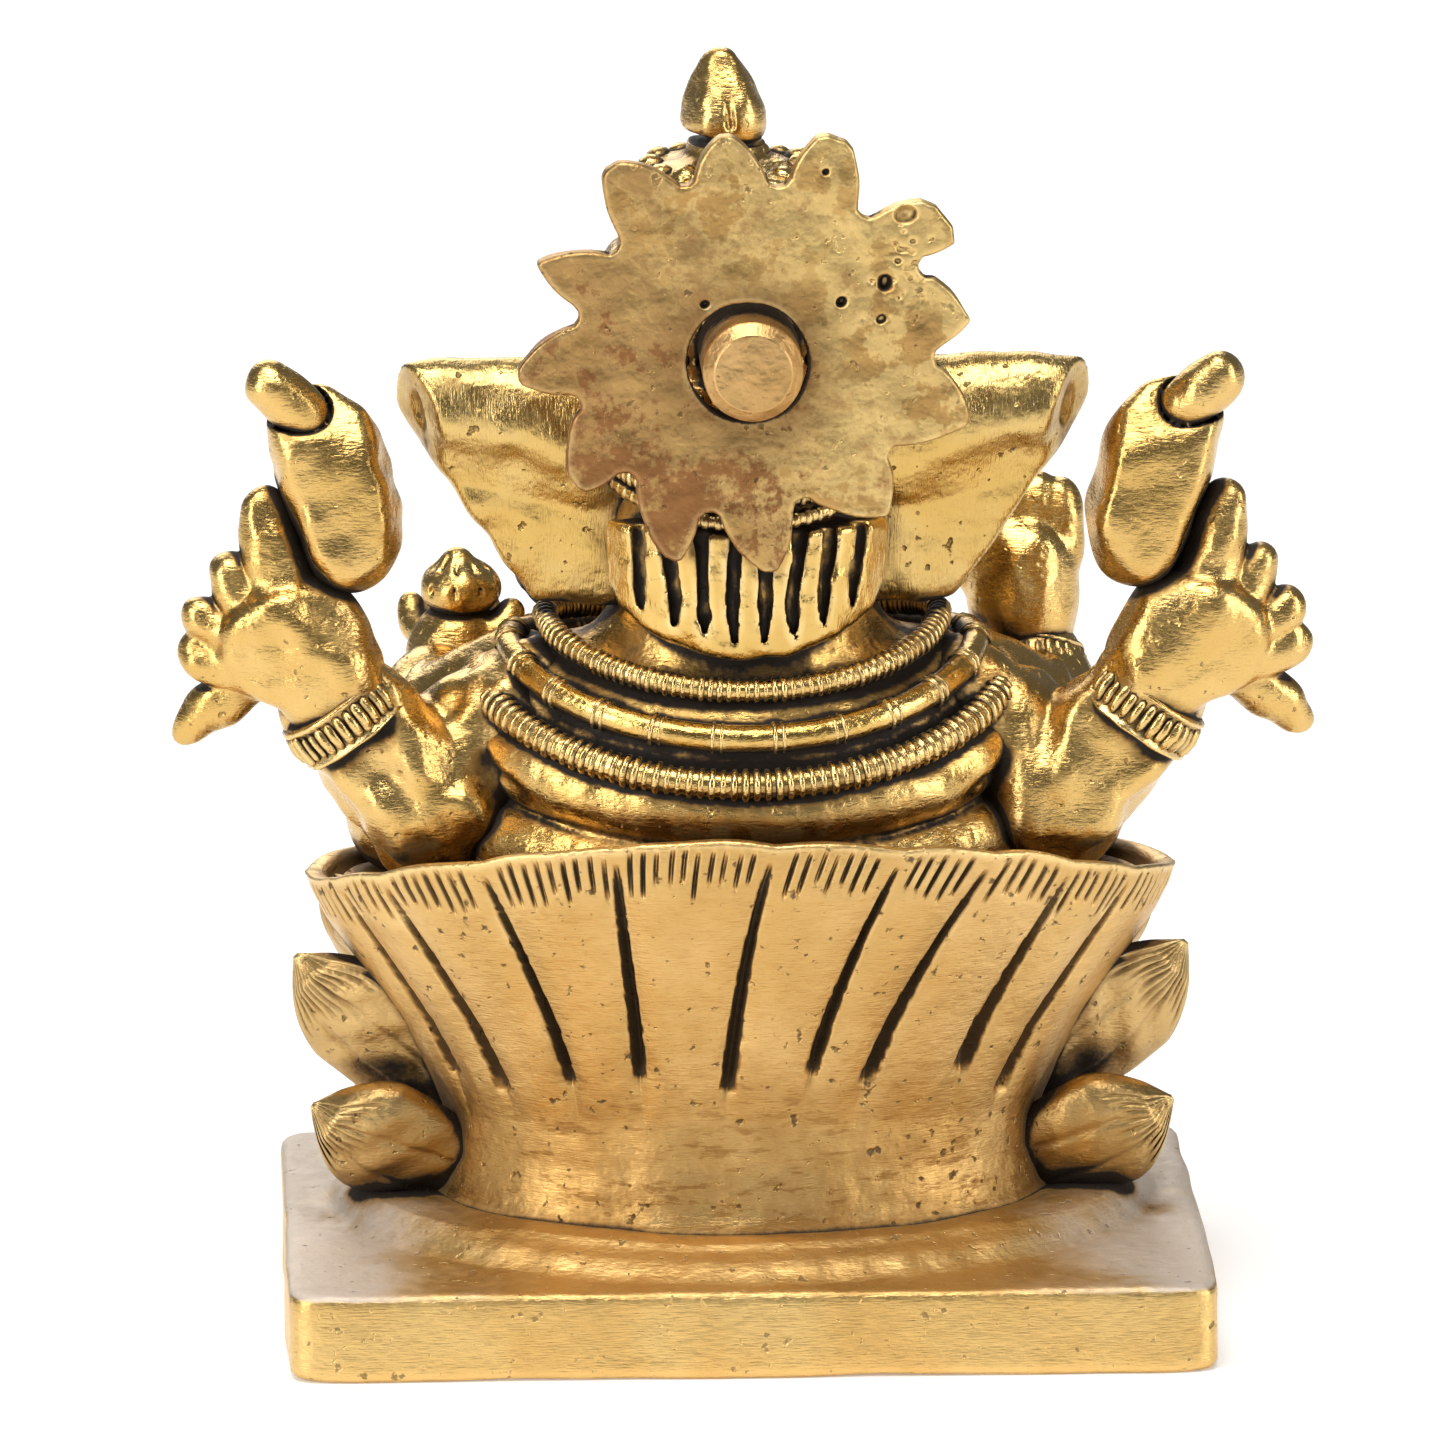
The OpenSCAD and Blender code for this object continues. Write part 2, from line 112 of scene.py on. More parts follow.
table_mesh = bpy.data.meshes.new("table_top")
table_mesh.from_pydata([(-TABLE_HALF, -TABLE_HALF, 0), (TABLE_HALF, -TABLE_HALF, 0),
                        (TABLE_HALF, TABLE_HALF, 0), (-TABLE_HALF, TABLE_HALF, 0)], [], [(0, 1, 2, 3)])
table_top = bpy.data.objects.new("table_top", table_mesh)
scene.collection.objects.link(table_top)
table_white = bpy.data.materials.new("table_white")
table_white.use_nodes = True
for socket, value in (("Base Color", TABLE_WHITE), ("Roughness", 0.7), ("Emission Color", (1, 1, 1, 1)),
                      ("Emission Strength", 0.22)):
    table_white.node_tree.nodes["Principled BSDF"].inputs[socket].default_value = value
table_mesh.materials.append(table_white)

# ---------------------------------------------------------------------------
# Slab. A cast brass plate with softened corners, filed bright round its edge
# and left duller on top, with a low ridge where the lotus was joined to it.
# ---------------------------------------------------------------------------
MM = 0.001


def cad_box(node):
    """A CAD node's box in millimetres: its middle and its half sizes."""
    low, high = (np.array(corner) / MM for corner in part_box(node))
    return (low + high) / 2, (high - low) / 2


class Wire:
    """One output of a node, so that sums over nodes read as sums."""

    def __init__(self, socket):
        self.socket, self.tree = socket, socket.id_data

    def sum_of(self, operation, *values):
        return Bench(self.tree).node("ShaderNodeMath", {"operation": operation}, dict(enumerate(values)))

    def __add__(self, other): return self.sum_of("ADD", self, other)
    def __radd__(self, other): return self.sum_of("ADD", other, self)
    def __sub__(self, other): return self.sum_of("SUBTRACT", self, other)
    def __rsub__(self, other): return self.sum_of("SUBTRACT", other, self)
    def __mul__(self, other): return self.sum_of("MULTIPLY", self, other)
    def __rmul__(self, other): return self.sum_of("MULTIPLY", other, self)
    def __truediv__(self, other): return self.sum_of("DIVIDE", self, other)
    def __pow__(self, other): return self.sum_of("POWER", self, other)
    def sine(self): return self.sum_of("SINE", self)
    def cosine(self): return self.sum_of("COSINE", self)
    def size(self): return self.sum_of("ABSOLUTE", self)

    def ramp(self, low, high):
        """0 below low, 1 above high, smooth between; low may be the larger."""
        return Bench(self.tree).node("ShaderNodeMapRange", {"interpolation_type": "SMOOTHSTEP"},
                                     {"Value": self, "From Min": low, "From Max": high}, "Result")


class Bench:
    """A node tree on the bench: node() sets one node down, its settings first, then its sockets."""

    def __init__(self, tree):
        self.tree = tree

    def node(self, kind, settings=None, sockets=None, output=0):
        node = self.tree.nodes.new(kind)
        for name, value in (settings or {}).items():
            setattr(node, name, value)
        for name, value in (sockets or {}).items():
            if isinstance(value, Wire):
                self.tree.links.new(value.socket, node.inputs[name])
            elif isinstance(value, list):
                for wire in value:
                    self.tree.links.new(wire.socket, node.inputs[name])
            else:
                node.inputs[name].default_value = value
        return Wire(node.outputs[output]) if node.outputs else None

    def noise(self, place, scale, detail=3, roughness=0.55, stretch=None):
        """Noise over a place, its scale in lumps per millimetre, stretched along chosen axes."""
        if stretch:
            place = self.node("ShaderNodeMapping", None, {"Vector": place, "Rotation": stretch[0],
                                                          "Scale": stretch[1]})
        return self.node("ShaderNodeTexNoise", None, {"Vector": place, "Scale": scale / MM,
                                                      "Detail": detail, "Roughness": roughness}, "Fac")

    def tint(self, share, under, over):
        """One colour laid over another by a share."""
        return self.node("ShaderNodeMix", {"data_type": "RGBA"}, {0: share, 6: under, 7: over}, 2)


def worn_brass(name, gold, pale, soil_and_shade, polish, brush, pits=0.5, grime_and_shade_share=1.0, copper=None, frost_and_reflection=None,
               shade_downwards=None):
    """Cast brass, polished by hand over old tarnish.

    Its colours when bright, paler, and soiled or in painted shade; how rough it is; which way it was brushed;
    how pitted it is, and how much grime and painted shade gather in its recesses. Copper is the point that
    copper stains spread from, frost two heights between which its ends grow bloomed and the colour they take,
    partly bloom and partly a painted reflection, and dusk two heights between which painted shade darkens it
    downwards, broken by streaky stains.
    """
    metal = bpy.data.materials.new(name)
    metal.use_nodes = True
    bench = Bench(metal.node_tree)
    metal.node_tree.nodes.clear()
    place = bench.node("ShaderNodeTexCoord", output="Object")
    recess = bench.node("ShaderNodeAttribute", {"attribute_name": "recess"}, output="Fac")
    rise = bench.node("ShaderNodeAttribute", {"attribute_name": "rise"}, output="Fac")
    clouds = bench.noise(place, 0.13, 4)
    patches = bench.noise(place, 0.42, 5, 0.65)
    grain = bench.noise(place, 2.2, 4, 0.7)
    scratches = bench.noise(place, 1.0, 3, 0.6, brush)
    dimples = bench.noise(place, 0.8, 2, 0.5)
    height = Wire(bench.node("ShaderNodeSeparateXYZ", None, {0: place}).socket.node.outputs[2])
    pores = bench.noise(place, 1.15, 2, 0.5).ramp(0.69 - 0.04 * pits, 0.77)
    # The recess mark darkens what lies deep, under or between parts, to near black and under a brown film:
    # partly grime and tarnish settled there, partly painted shade.
    grime_and_shade = (recess * 2.3 + (patches - 0.5) * 1.0 + (grain - 0.5) * 0.5 - rise * 0.6).ramp(0.62, 1.15) * grime_and_shade_share
    tarnish_and_shade_film = (recess * 2.2 + (clouds - 0.5) * 1.3 + (patches - 0.5) * 0.9).ramp(0.10, 0.95)
    outward = bench.node("ShaderNodeSeparateXYZ", None, {0: place}).size()
    if shade_downwards:
        # Painted shade: the cup is darker towards its foot, broken by streaky stains.
        low_shade = (height + (clouds - 0.5) * 0.02).ramp(shade_downwards[0] * MM, shade_downwards[1] * MM)
        smears = bench.noise(place, 0.24, 4, 0.7, ((0, 0, 0), (1, 1, 4))).ramp(0.53, 0.63)
        tarnish_and_shade_film = tarnish_and_shade_film + low_shade * (smears * 0.8 + patches * 1.6 - 0.35)
        grime_and_shade = grime_and_shade * (1 - outward.ramp(0.012, 0.028) * 0.45)
    colour = bench.tint(clouds.ramp(0.35, 0.68), gold, pale)
    if frost_and_reflection:
        frosted = (height + (patches - 0.5) * 0.0004).ramp(frost_and_reflection[0] * MM, frost_and_reflection[1] * MM)
        ends = frosted * (outward + (clouds - 0.5) * 0.02).ramp(0.017, 0.029)
        tarnish_and_shade_film = tarnish_and_shade_film + (frosted - ends) * (clouds * 1.2 - 0.15)
        # The pale colour taken at the ends is partly bloom on the frosted metal and partly a painted
        # reflection of the bright room.
        bloom_and_reflection = (ends * 0.9 + 0.06 * frosted) * (clouds + patches).ramp(0.3, 0.9)
        colour = bench.tint(bloom_and_reflection, colour, frost_and_reflection[2])
    # Soil colour laid over the film of tarnish and painted shade.
    colour = bench.tint(tarnish_and_shade_film * 0.85, colour, soil_and_shade)
    if copper:
        spread = bench.node("ShaderNodeVectorMath", {"operation": "SUBTRACT"}, {0: place, 1: copper})
        across = bench.node("ShaderNodeSeparateXYZ", None, {0: spread})
        up = Wire(across.socket.node.outputs[2])
        from_middle = (across * across + up * up) ** 0.5
        bare = (patches * 0.9 + clouds * 0.4 + grain * 0.15 - 0.1).ramp(0.55, 0.62)
        colour = bench.tint(bare * 0.8, colour, (0.72, 0.51, 0.20, 1))
        brown = (patches * 1.0 + clouds * 0.5 + grain * 0.2 + across * 15 - up * 6).ramp(0.76, 0.98)
        colour = bench.tint(brown * 0.75, colour, (0.36, 0.195, 0.07, 1))
        red = (clouds * 0.25 + patches * 1.1 + grain * 0.35 + across * 13 - up * 16).ramp(0.98, 1.10)
        colour = bench.tint(red * 0.8, colour, (0.25, 0.10, 0.035, 1))
        halo = (from_middle + (patches - 0.5) * 0.004).ramp(0.0085, 0.0042)
        colour = bench.tint(halo * 0.55, colour, (0.20, 0.10, 0.035, 1))
    colour = bench.tint(rise.ramp(0.15, 0.8) * 0.55, colour, (0.93, 0.70, 0.33, 1))
    colour = bench.tint((grain - scratches * 0.4).ramp(0.42, 0.62) * 0.13, colour, soil_and_shade)
    # Near black in deep recesses: grime and painted shade.
    colour = bench.tint(grime_and_shade, colour, (0.020, 0.011, 0.004, 1))
    colour = bench.tint(pores * (0.8 * pits), colour, (0.05, 0.026, 0.010, 1))
    if frost_and_reflection:
        polish = ends * 0.28 + frosted * 0.06 + polish
    rough = polish + (patches - 0.5) * 0.28 + (scratches - 0.5) * 0.28
    rough = rough + tarnish_and_shade_film * 0.12 + grime_and_shade * 0.3 + pores * 0.2
    metalness = 1 - grime_and_shade * 0.8 - pores * (0.5 * pits)
    relief = scratches * 0.5 + grain * 0.22 + patches * 0.55 + dimples * 1.3 - pores * (2.2 * pits)
    bump = bench.node("ShaderNodeBump", None, {"Strength": 0.65, "Distance": 0.00016, "Height": relief})
    shader = bench.node("ShaderNodeBsdfPrincipled", None,
                        {"Base Color": colour, "Roughness": rough, "Metallic": metalness, "Normal": bump})
    bench.node("ShaderNodeOutputMaterial", None, {"Surface": shader})
    return metal


def solid(name, points, faces, metal):
    """A closed mesh from points in millimetres and faces that all have as many corners, with its metal."""
    mesh = bpy.data.meshes.new(name)
    faces = np.asarray(faces, np.int32)
    mesh.vertices.add(len(points))
    mesh.vertices.foreach_set("co", (np.asarray(points, np.float32) * MM).ravel())
    mesh.loops.add(faces.size)
    mesh.loops.foreach_set("vertex_index", faces.ravel())
    mesh.polygons.add(len(faces))
    mesh.polygons.foreach_set("loop_start", np.arange(0, faces.size, faces.shape[1], dtype=np.int32))
    mesh.update(calc_edges=True)
    mesh.polygons.foreach_set("use_smooth", np.ones(len(faces), bool))
    mesh.materials.append(metal)
    piece = bpy.data.objects.new(name, mesh)
    scene.collection.objects.link(piece)
    return piece


def ripple(points, size, seed):
    """A soft unevenness over points, about -1 to 1, whose lumps are about size millimetres."""
    draw = np.random.default_rng(seed)
    total = np.zeros(len(points), np.float32)
    waves = 16
    for _ in range(waves):
        way = draw.normal(size=3)
        way *= 2 * math.pi / (size * draw.uniform(0.8, 2.0)) / np.linalg.norm(way)
        total += np.sin(points @ way.astype(np.float32) + draw.uniform(0, 6.28))
    return total / math.sqrt(waves)


def melt(a, b, k):
    """The nearer of two distances, run together over a fillet of size k."""
    if k <= 0:
        return np.minimum(a, b)
    h = np.maximum(k - np.abs(a - b), 0)
    return np.minimum(a, b) - h * h / (4 * k)


def curve_through(path, steps=4):
    """A smooth run of points through a path of [x, y, z, r]."""
    path = np.array(path, float)
    padded = np.vstack([2 * path[0] - path[1], path, 2 * path[-1] - path[-2]])
    run = []
    for i in range(1, len(padded) - 2):
        a, b, c, d = padded[i - 1:i + 3]
        for t in np.arange(steps) / steps:
            run.append(0.5 * (2 * b + (c - a) * t + (2 * a - 5 * b + 4 * c - d) * t ** 2
                              + (3 * b - a - 3 * c + d) * t ** 3))
    return np.array(run + [path[-1]])


class Wax:
    """Modelling wax round the middle of a CAD node: forms are pressed on or hollowed out, then it is cast.

    It is held as distances to the surface on a grid, below zero inside, and all sizes are in millimetres.
    """

    FAR = 9.0

    def __init__(self, node, grain, spare=2.0, side=1):
        self.middle, self.half = cad_box(node)
        self.grain, self.side = grain, side
        low, high = self.middle - self.half - spare, self.middle + self.half + spare
        self.axes = [np.arange(a, b, grain, dtype=np.float32) for a, b in zip(low, high)]
        self.depth = np.full([len(a) for a in self.axes], self.FAR, np.float32)

    def there(self, point):
        """A point given from the node's middle, x counted outwards on either side of the body."""
        return self.middle + np.array([point[0] * self.side, point[1], point[2]], float)

    def press(self, low, high, form, k, hollow=False):
        """Presses a form on, or hollows it out; form gives a distance from three coordinates."""
        cut, spans = [], []
        for i in range(3):
            a = int(np.clip((low[i] - k - 1 - self.axes[i][0]) / self.grain, 0, len(self.axes[i]) - 1))
            b = int(np.clip((high[i] + k + 1 - self.axes[i][0]) / self.grain + 2, a + 1, len(self.axes[i])))
            cut.append(slice(a, b))
            spans.append(self.axes[i][a:b].reshape([-1 if j == i else 1 for j in range(3)]))
        cut = tuple(cut)
        d = form(*spans).astype(np.float32)
        self.depth[cut] = -melt(-self.depth[cut], d, k) if hollow else melt(self.depth[cut], d, k)
        return self

    def limb(self, path, k=1.0, smooth=True, hollow=False, flat=(1, 1, 1)):
        """A run of balls [x, y, z, r] joined into a limb, flattened along an axis by flat."""
        run = curve_through(path) if smooth and len(path) > 2 else np.array(path, float)
        flat = np.array(flat, float)
        for p, q in zip(run[:-1], run[1:]):
            a, b = self.there(p), self.there(q)
            ra, rb = p[3], q[3]
            span = (b - a) / flat
            length = max(float(span @ span), 1e-9)

            def form(x, y, z):
                u, v, w = (x - a[0]) / flat[0], (y - a[1]) / flat[1], (z - a[2]) / flat[2]
                t = np.clip((u * span[0] + v * span[1] + w * span[2]) / length, 0, 1)
                gap = np.sqrt((u - t * span[0]) ** 2 + (v - t * span[1]) ** 2 + (w - t * span[2]) ** 2)
                return (gap - (ra + t * (rb - ra))) * flat.min()
            reach = max(ra, rb) * flat.max()
            self.press(np.minimum(a, b) - reach, np.maximum(a, b) + reach, form, k, hollow)
        return self

    def lump(self, point, radii, k=1.0, turn=(0, 0, 0), hollow=False):
        """An egg with three radii, turned by angles about x, y and z."""
        c = self.there(point)
        ax, ay, az = (math.radians(t) for t in (turn[0], turn[1] * self.side, turn[2] * self.side))
        rx = np.array([[1, 0, 0], [0, math.cos(ax), -math.sin(ax)], [0, math.sin(ax), math.cos(ax)]])
        ry = np.array([[math.cos(ay), 0, math.sin(ay)], [0, 1, 0], [-math.sin(ay), 0, math.cos(ay)]])
        rz = np.array([[math.cos(az), -math.sin(az), 0], [math.sin(az), math.cos(az), 0], [0, 0, 1]])
        m = (rz @ ry @ rx).T
        r = np.array(radii, float)

        def form(x, y, z):
            u, v, w = x - c[0], y - c[1], z - c[2]
            p = [m[i, 0] * u + m[i, 1] * v + m[i, 2] * w for i in range(3)]
            near = np.sqrt(sum((p[i] / r[i]) ** 2 for i in range(3)))
            far = np.sqrt(sum((p[i] / r[i] ** 2) ** 2 for i in range(3))) + 1e-6
            return near * (near - 1) / far
        return self.press(c - r.max(), c + r.max(), form, k, hollow)

    def file_flat(self, point, way, k=0.6):
        """Files the wax back to a plane through a point, on the side that way points to."""
        c = self.there(point)
        n = np.array([way[0] * self.side, way[1], way[2]], float)
        n /= np.linalg.norm(n)
        big = self.half + 60
        return self.press(c - big, c + big, lambda x, y, z: -((x - c[0]) * n[0] + (y - c[1]) * n[1]
                                                             + (z - c[2]) * n[2]), k, hollow=True)

    def cast(self, name, metal, uneven=0.08, lumps=3.5, seed=1):
        """Turns the wax to metal: a mesh over its surface, a little uneven as hand work is."""
        limit = 3 * self.grain
        grid = openvdb.FloatGrid(limit)
        grid.copyFromArray(np.clip(self.depth, -limit, limit))
        points, quads = grid.convertToQuads(0.0)
        points = points * self.grain + np.array([a[0] for a in self.axes])
        piece = solid(name, points, quads, metal)
        if uneven:
            normals = np.empty(len(points) * 3, np.float32)
            piece.data.vertex_normals.foreach_get("vector", normals)
            normals = normals.reshape(-1, 3)
            points = points + normals * (uneven * ripple(points.astype(np.float32), lumps, seed))[:, None]
            piece.data.vertices.foreach_set("co", (points * MM).astype(np.float32).ravel())
            piece.data.update()
        return piece


# The slab's top ends take a pale grey-pink, partly bloom and partly a painted reflection.
slab_gold = worn_brass("slab_gold", (0.72, 0.49, 0.185, 1), (0.68, 0.43, 0.145, 1), (0.42, 0.25, 0.08, 1),
                       0.36, ((0, 0.6, 0), (0.9, 1, 8)), pits=0.7, frost_and_reflection=(5.75, 6.0, (0.68, 0.60, 0.52, 1)))
slab = Wax("base_slab", 0.36)
SQUARENESS, CORNER = 26, 0.55
SLAB_GROW = (0.7, 0.2, 0)
FOOT_SHARE = 0.79
lotus_middle, lotus_half = cad_box("lotus_cup")


def slab_form(x, y, z):
    """A plate whose sides bow a little between softened corners."""
    wide, deep, high = slab.half + np.array(SLAB_GROW)
    ring = (np.abs(x / wide) ** SQUARENESS + np.abs(y / deep) ** SQUARENESS) ** (1 / SQUARENESS)
    side = (ring - 1) * deep + CORNER
    top = np.abs(z - slab.middle[2]) - high + CORNER
    return (np.sqrt(np.maximum(side, 0) ** 2 + np.maximum(top, 0) ** 2) + np.minimum(np.maximum(side, top), 0)
            - CORNER)


def ridge_ring(grow, height, r):
    """A ring of balls round the foot of the lotus."""
    wide, deep = lotus_half[0] * FOOT_SHARE + grow, lotus_half[1] * (FOOT_SHARE + 0.03) + grow
    return [[wide * math.cos(a), lotus_middle[1] - slab.middle[1] + deep * math.sin(a), height, r]
            for a in np.linspace(0, 2 * math.pi, 49)]


slab.press(slab.middle - slab.half, slab.middle + slab.half, slab_form, 0)
slab.limb(ridge_ring(-0.6, 2.9, 1.7), 2.6, smooth=False)
slab.limb(ridge_ring(2.2, 2.2, 1.1), 2.2, smooth=False)
slab.limb([[-27, -6, 2.7, 1.3], [-23.5, 4, 2.9, 1.6], [-17, 12, 2.5, 1.0]], 2.4)
slab.limb([[27, -6, 2.7, 1.2], [23.5, 4, 2.9, 1.5], [17, 12, 2.5, 1.0]], 2.4)
slab.file_flat((0, -slab.half[1] - SLAB_GROW[1], 0), (0, -1, 0), 0.5)
slab = slab.cast("slab", slab_gold, 0.09, 9, 3)
for corner in slab.data.vertices:
    corner.co.z = max(corner.co.z, 0)
finished = []


def add(piece, *nodes, slot="gold_brass", body="figure"):
    """Fixes a finished piece on its body, in place of its CAD nodes; the finish slot it is given is not used.
    """
    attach(piece, body)
    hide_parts(*nodes)
    finished.append(piece)


add(slab, "base_slab", slot="satin_brass")

# ---------------------------------------------------------------------------
# Lotus cup. The body of the flower, one flaring shell that the figure sits in.
# Its back is fanned with knife-cut grooves, and its rim hatched all along.
# ---------------------------------------------------------------------------
# The cup is painted darker towards its foot, between 26 and 9 mm up, as painted shade.
satin = worn_brass("lotus_satin", (0.60, 0.37, 0.125, 1), (0.68, 0.44, 0.17, 1), (0.36, 0.19, 0.055, 1),
                   0.38, ((0, 0.3, 0), (1, 1, 9)), pits=1.0, grime_and_shade_share=0.86, shade_downwards=(26, 9))
# how far the rim lies below its back, at the sides and in front
RIM_SIDE, RIM_FRONT = 6.8, 8.3
# where each groove starts at the rim and where it ends low down, in degrees round the cup
GROOVES = [(21, 25), (33, 41), (52, 56.5), (72, 69.7), (93, 85.6), (110.4, 100), (124, 110.3), (138, 131.5),
           (153, 143.6)]
GROOVE_HALF, GROOVE_DEPTH, GROOVE_START, GROOVE_END = 0.66, 1.05, 1.2, 17.6
GROOVE_COLUMNS = (0, 0.14, 0.28, 0.42, 0.55, 0.7, 0.9)
HATCH_PITCH, HATCH_HALF, HATCH_DEPTH = 0.98, 0.198, 0.45
HATCH_COLUMNS = (0, 0.08, 0.16, 0.24, 0.36)
HATCH_FROM, HATCH_TO = 8, 172
FAN_DROP = 19.5
PILLOW = 0.55
SEAT_HEIGHT, SEAT_BELOW_RIM = 29.5, 0.8
# the cup's side, from its foot to its rim: share of the height, share of the rim's width
PROFILE = [(0, 0.80), (0.04, 0.752), (0.1, 0.712), (0.2, 0.690), (0.32, 0.694), (0.45, 0.728), (0.58, 0.782),
           (0.7, 0.845), (0.8, 0.898), (0.88, 0.942), (0.95, 0.98), (1, 1.0)]
# over the lip and down the inside to the seat: how far in from the rim, and how far below it
LIP = [(0.0, 0.12), (0.25, 0.0), (0.7, 0.0), (1.2, 0.1), (1.6, 0.5), (1.9, 1.5), (2.3, 3.5), (3.2, 6)]


def rim_height(a):
    s = np.sin(a)
    side = lotus_middle[2] + lotus_half[2] - RIM_SIDE
    return np.where(s > 0, side + RIM_SIDE * np.abs(s) ** 1.5, side + (RIM_FRONT - RIM_SIDE) * s)


def nearest_of(places, columns):
    """How far each column is from the nearest of some places, and which place that is."""
    gap = np.abs(columns[:, None] - places[None, :])
    return gap.min(1), gap.argmin(1)


def lotus_cup():
    draw = np.random.default_rng(11)
    rx, ry = lotus_half[0], lotus_half[1]
    foot = lotus_middle[2] - lotus_half[2]
    # columns, as distance walked round the rim: close together over cuts and grooves, wide apart elsewhere
    turn = np.radians(np.linspace(0, 360, 7201))
    stride = np.hypot(rx * np.diff(np.cos(turn)), ry * np.diff(np.sin(turn)))
    walked = np.concatenate([[0], np.cumsum(stride)])
    grooves = np.interp(np.radians([g[0] for g in GROOVES]), turn, walked)
    first, last = np.interp(np.radians([HATCH_FROM, HATCH_TO]), turn, walked)
    hatches = np.arange(first, last, HATCH_PITCH)
    hatches = hatches + draw.uniform(-0.09, 0.09, len(hatches))
    hatches = np.array([h for h in hatches if np.abs(grooves - h).min() > 0.75])
    columns = [np.arange(0, walked[-1], 0.8)]
    columns += [hatches + side * step for step in HATCH_COLUMNS for side in (1, -1)]
    columns += [grooves + side * step for step in GROOVE_COLUMNS for side in (1, -1)]
    columns = np.sort(np.concatenate(columns))
    columns = columns[np.concatenate([[True], np.diff(columns) > 0.045])]
    rim_turn = np.interp(columns, walked, turn)
    behind = rim_turn < math.pi
    tops = np.radians([0] + [g[0] for g in GROOVES] + [180, 360])
    ends = np.radians([HATCH_FROM] + [g[1] for g in GROOVES] + [HATCH_TO, 360])
    low_turn = np.interp(rim_turn, tops, ends)
    to_groove, which_groove = nearest_of(grooves, columns)
    to_hatch, which_hatch = nearest_of(hatches, columns)
    hatch_length = draw.uniform(2.5, 3.9, len(hatches))[which_hatch]
    hatch_start = draw.uniform(0.2, 0.7, len(hatches))[which_hatch]
    hatch_sharp = draw.uniform(0.7, 1.1, len(hatches))[which_hatch]
    groove_low = draw.uniform(-0.6, 1.8, len(grooves))[which_groove]
    groove_wide = draw.uniform(0.8, 1.15, len(grooves))[which_groove]
    between = np.clip(to_groove / 3.2, 0, 1)
    along_rim = np.stack([columns, columns * 0, columns * 0], 1).astype(np.float32)
    swell, edge_wave = ripple(along_rim, 9, 5), ripple(along_rim, 6, 9)
    rim = rim_height(rim_turn) + 0.2 * (1 - (1 - between) ** 2) * behind - 0.3 + 0.13 * edge_wave
    rows = []
    for inward, drop in reversed(LIP):
        z = rim - drop
        if drop > 3:
            floor = SEAT_HEIGHT if drop < 4 else SEAT_HEIGHT - 0.5
            z = np.minimum(np.maximum(z, floor), rim - SEAT_BELOW_RIM)
        rows.append(np.stack([(rx - inward) * np.cos(rim_turn),
                              (ry - inward) * np.sin(rim_turn) + lotus_middle[1], z], 1))
    # down the outside, by distance below the rim
    drops = [np.arange(0.35, 4.2, 0.26), np.arange(4.3, 20.5, 0.5), np.linspace(21, 32.2, 24)]
    for drop in np.concatenate(drops):
        z = rim - drop * (rim - foot) / (lotus_half[2] * 2)
        share = 1 - drop / (lotus_half[2] * 2)
        wide = np.interp(share, [p[0] for p in PROFILE], [p[1] for p in PROFILE])
        fan = np.clip(drop / FAN_DROP, 0, 1)
        a = rim_turn + (low_turn - rim_turn) * fan ** 0.85
        # a groove grows wider and deeper downwards, and ends bluntly
        along = np.clip((drop - GROOVE_START) / (GROOVE_END + groove_low - GROOVE_START), 0, 1)
        cut = np.clip(along * 5, 0, 1) ** 0.7 * np.clip((1 - along) * 9, 0, 1) ** 0.6
        jagged = 1 + 0.14 * np.sin(drop * 2.3 + which_groove * 2.1) * np.cos(drop * 5.1 + which_groove)
        half = GROOVE_HALF * groove_wide * jagged * (0.32 + 0.74 * along ** 0.8)
        from_middle = to_groove * (1 - 0.32 * fan) / half
        groove = GROOVE_DEPTH * cut * np.clip(1 - from_middle ** 2, 0, 1) ** 0.7
        t = np.clip((drop - hatch_start) / hatch_length, 0, 1)
        stroke = np.maximum(np.sin(math.pi * t), 0) ** 0.6 * np.clip(1 - (to_hatch / HATCH_HALF) ** 2, 0, 1)
        hatch = HATCH_DEPTH * hatch_sharp * stroke
        pillow = PILLOW * (1 - (1 - between) ** 2.2)
        pillow = pillow * np.clip(drop / 4, 0, 1) * np.clip((22 - drop) / 5, 0, 1)
        out = pillow * behind - groove - hatch + 0.12 * swell * np.clip(drop / 10, 0, 1)
        x, y = rx * wide * np.cos(a), ry * (wide + 0.02 * (1 - share)) * np.sin(a)
        flare = np.hypot(x / rx ** 2, y / ry ** 2)
        x, y = x + out * x / rx ** 2 / flare, y + out * y / ry ** 2 / flare
        rows.append(np.stack([x, y + lotus_middle[1], z], 1))
    count = len(columns)
    i = np.arange(count)
    j = (i + 1) % count
    faces = []
    for k in range(len(rows) - 1):
        here, below = k * count, (k + 1) * count
        faces += [np.stack([here + i, below + i, below + j], 1), np.stack([here + i, below + j, here + j], 1)]
    top_hub, foot_hub = len(rows) * count, len(rows) * count + 1
    base = (len(rows) - 1) * count
    faces += [np.stack([i * 0 + top_hub, i, j], 1), np.stack([i * 0 + foot_hub, base + j, base + i], 1)]
    hubs = [[0, lotus_middle[1], rows[end][:, 2].mean()] for end in (0, -1)]
    return solid("lotus", np.vstack(rows + [hubs]), np.concatenate(faces), satin)


add(lotus_cup(), "lotus_cup", slot="satin_brass")

# ---------------------------------------------------------------------------
# Lotus petals. Three rows of thick leaves that were pressed on round the cup,
# each with a few veins down its face and hatch cuts along its pointed edge.
# ---------------------------------------------------------------------------
petal_brass = worn_brass("petal_brass", (0.52, 0.33, 0.12, 1), (0.56, 0.37, 0.15, 1), (0.30, 0.17, 0.06, 1),
                         0.36, ((0, 0.5, 0), (2, 2, 7)), pits=0.7)


PETAL_HATCH_PITCH, PETAL_HATCH_DEPTH, VEIN_HALF, VEIN_DEPTH = 0.8, 0.30, 0.35, 0.17
PETALS_BACK = 0.7


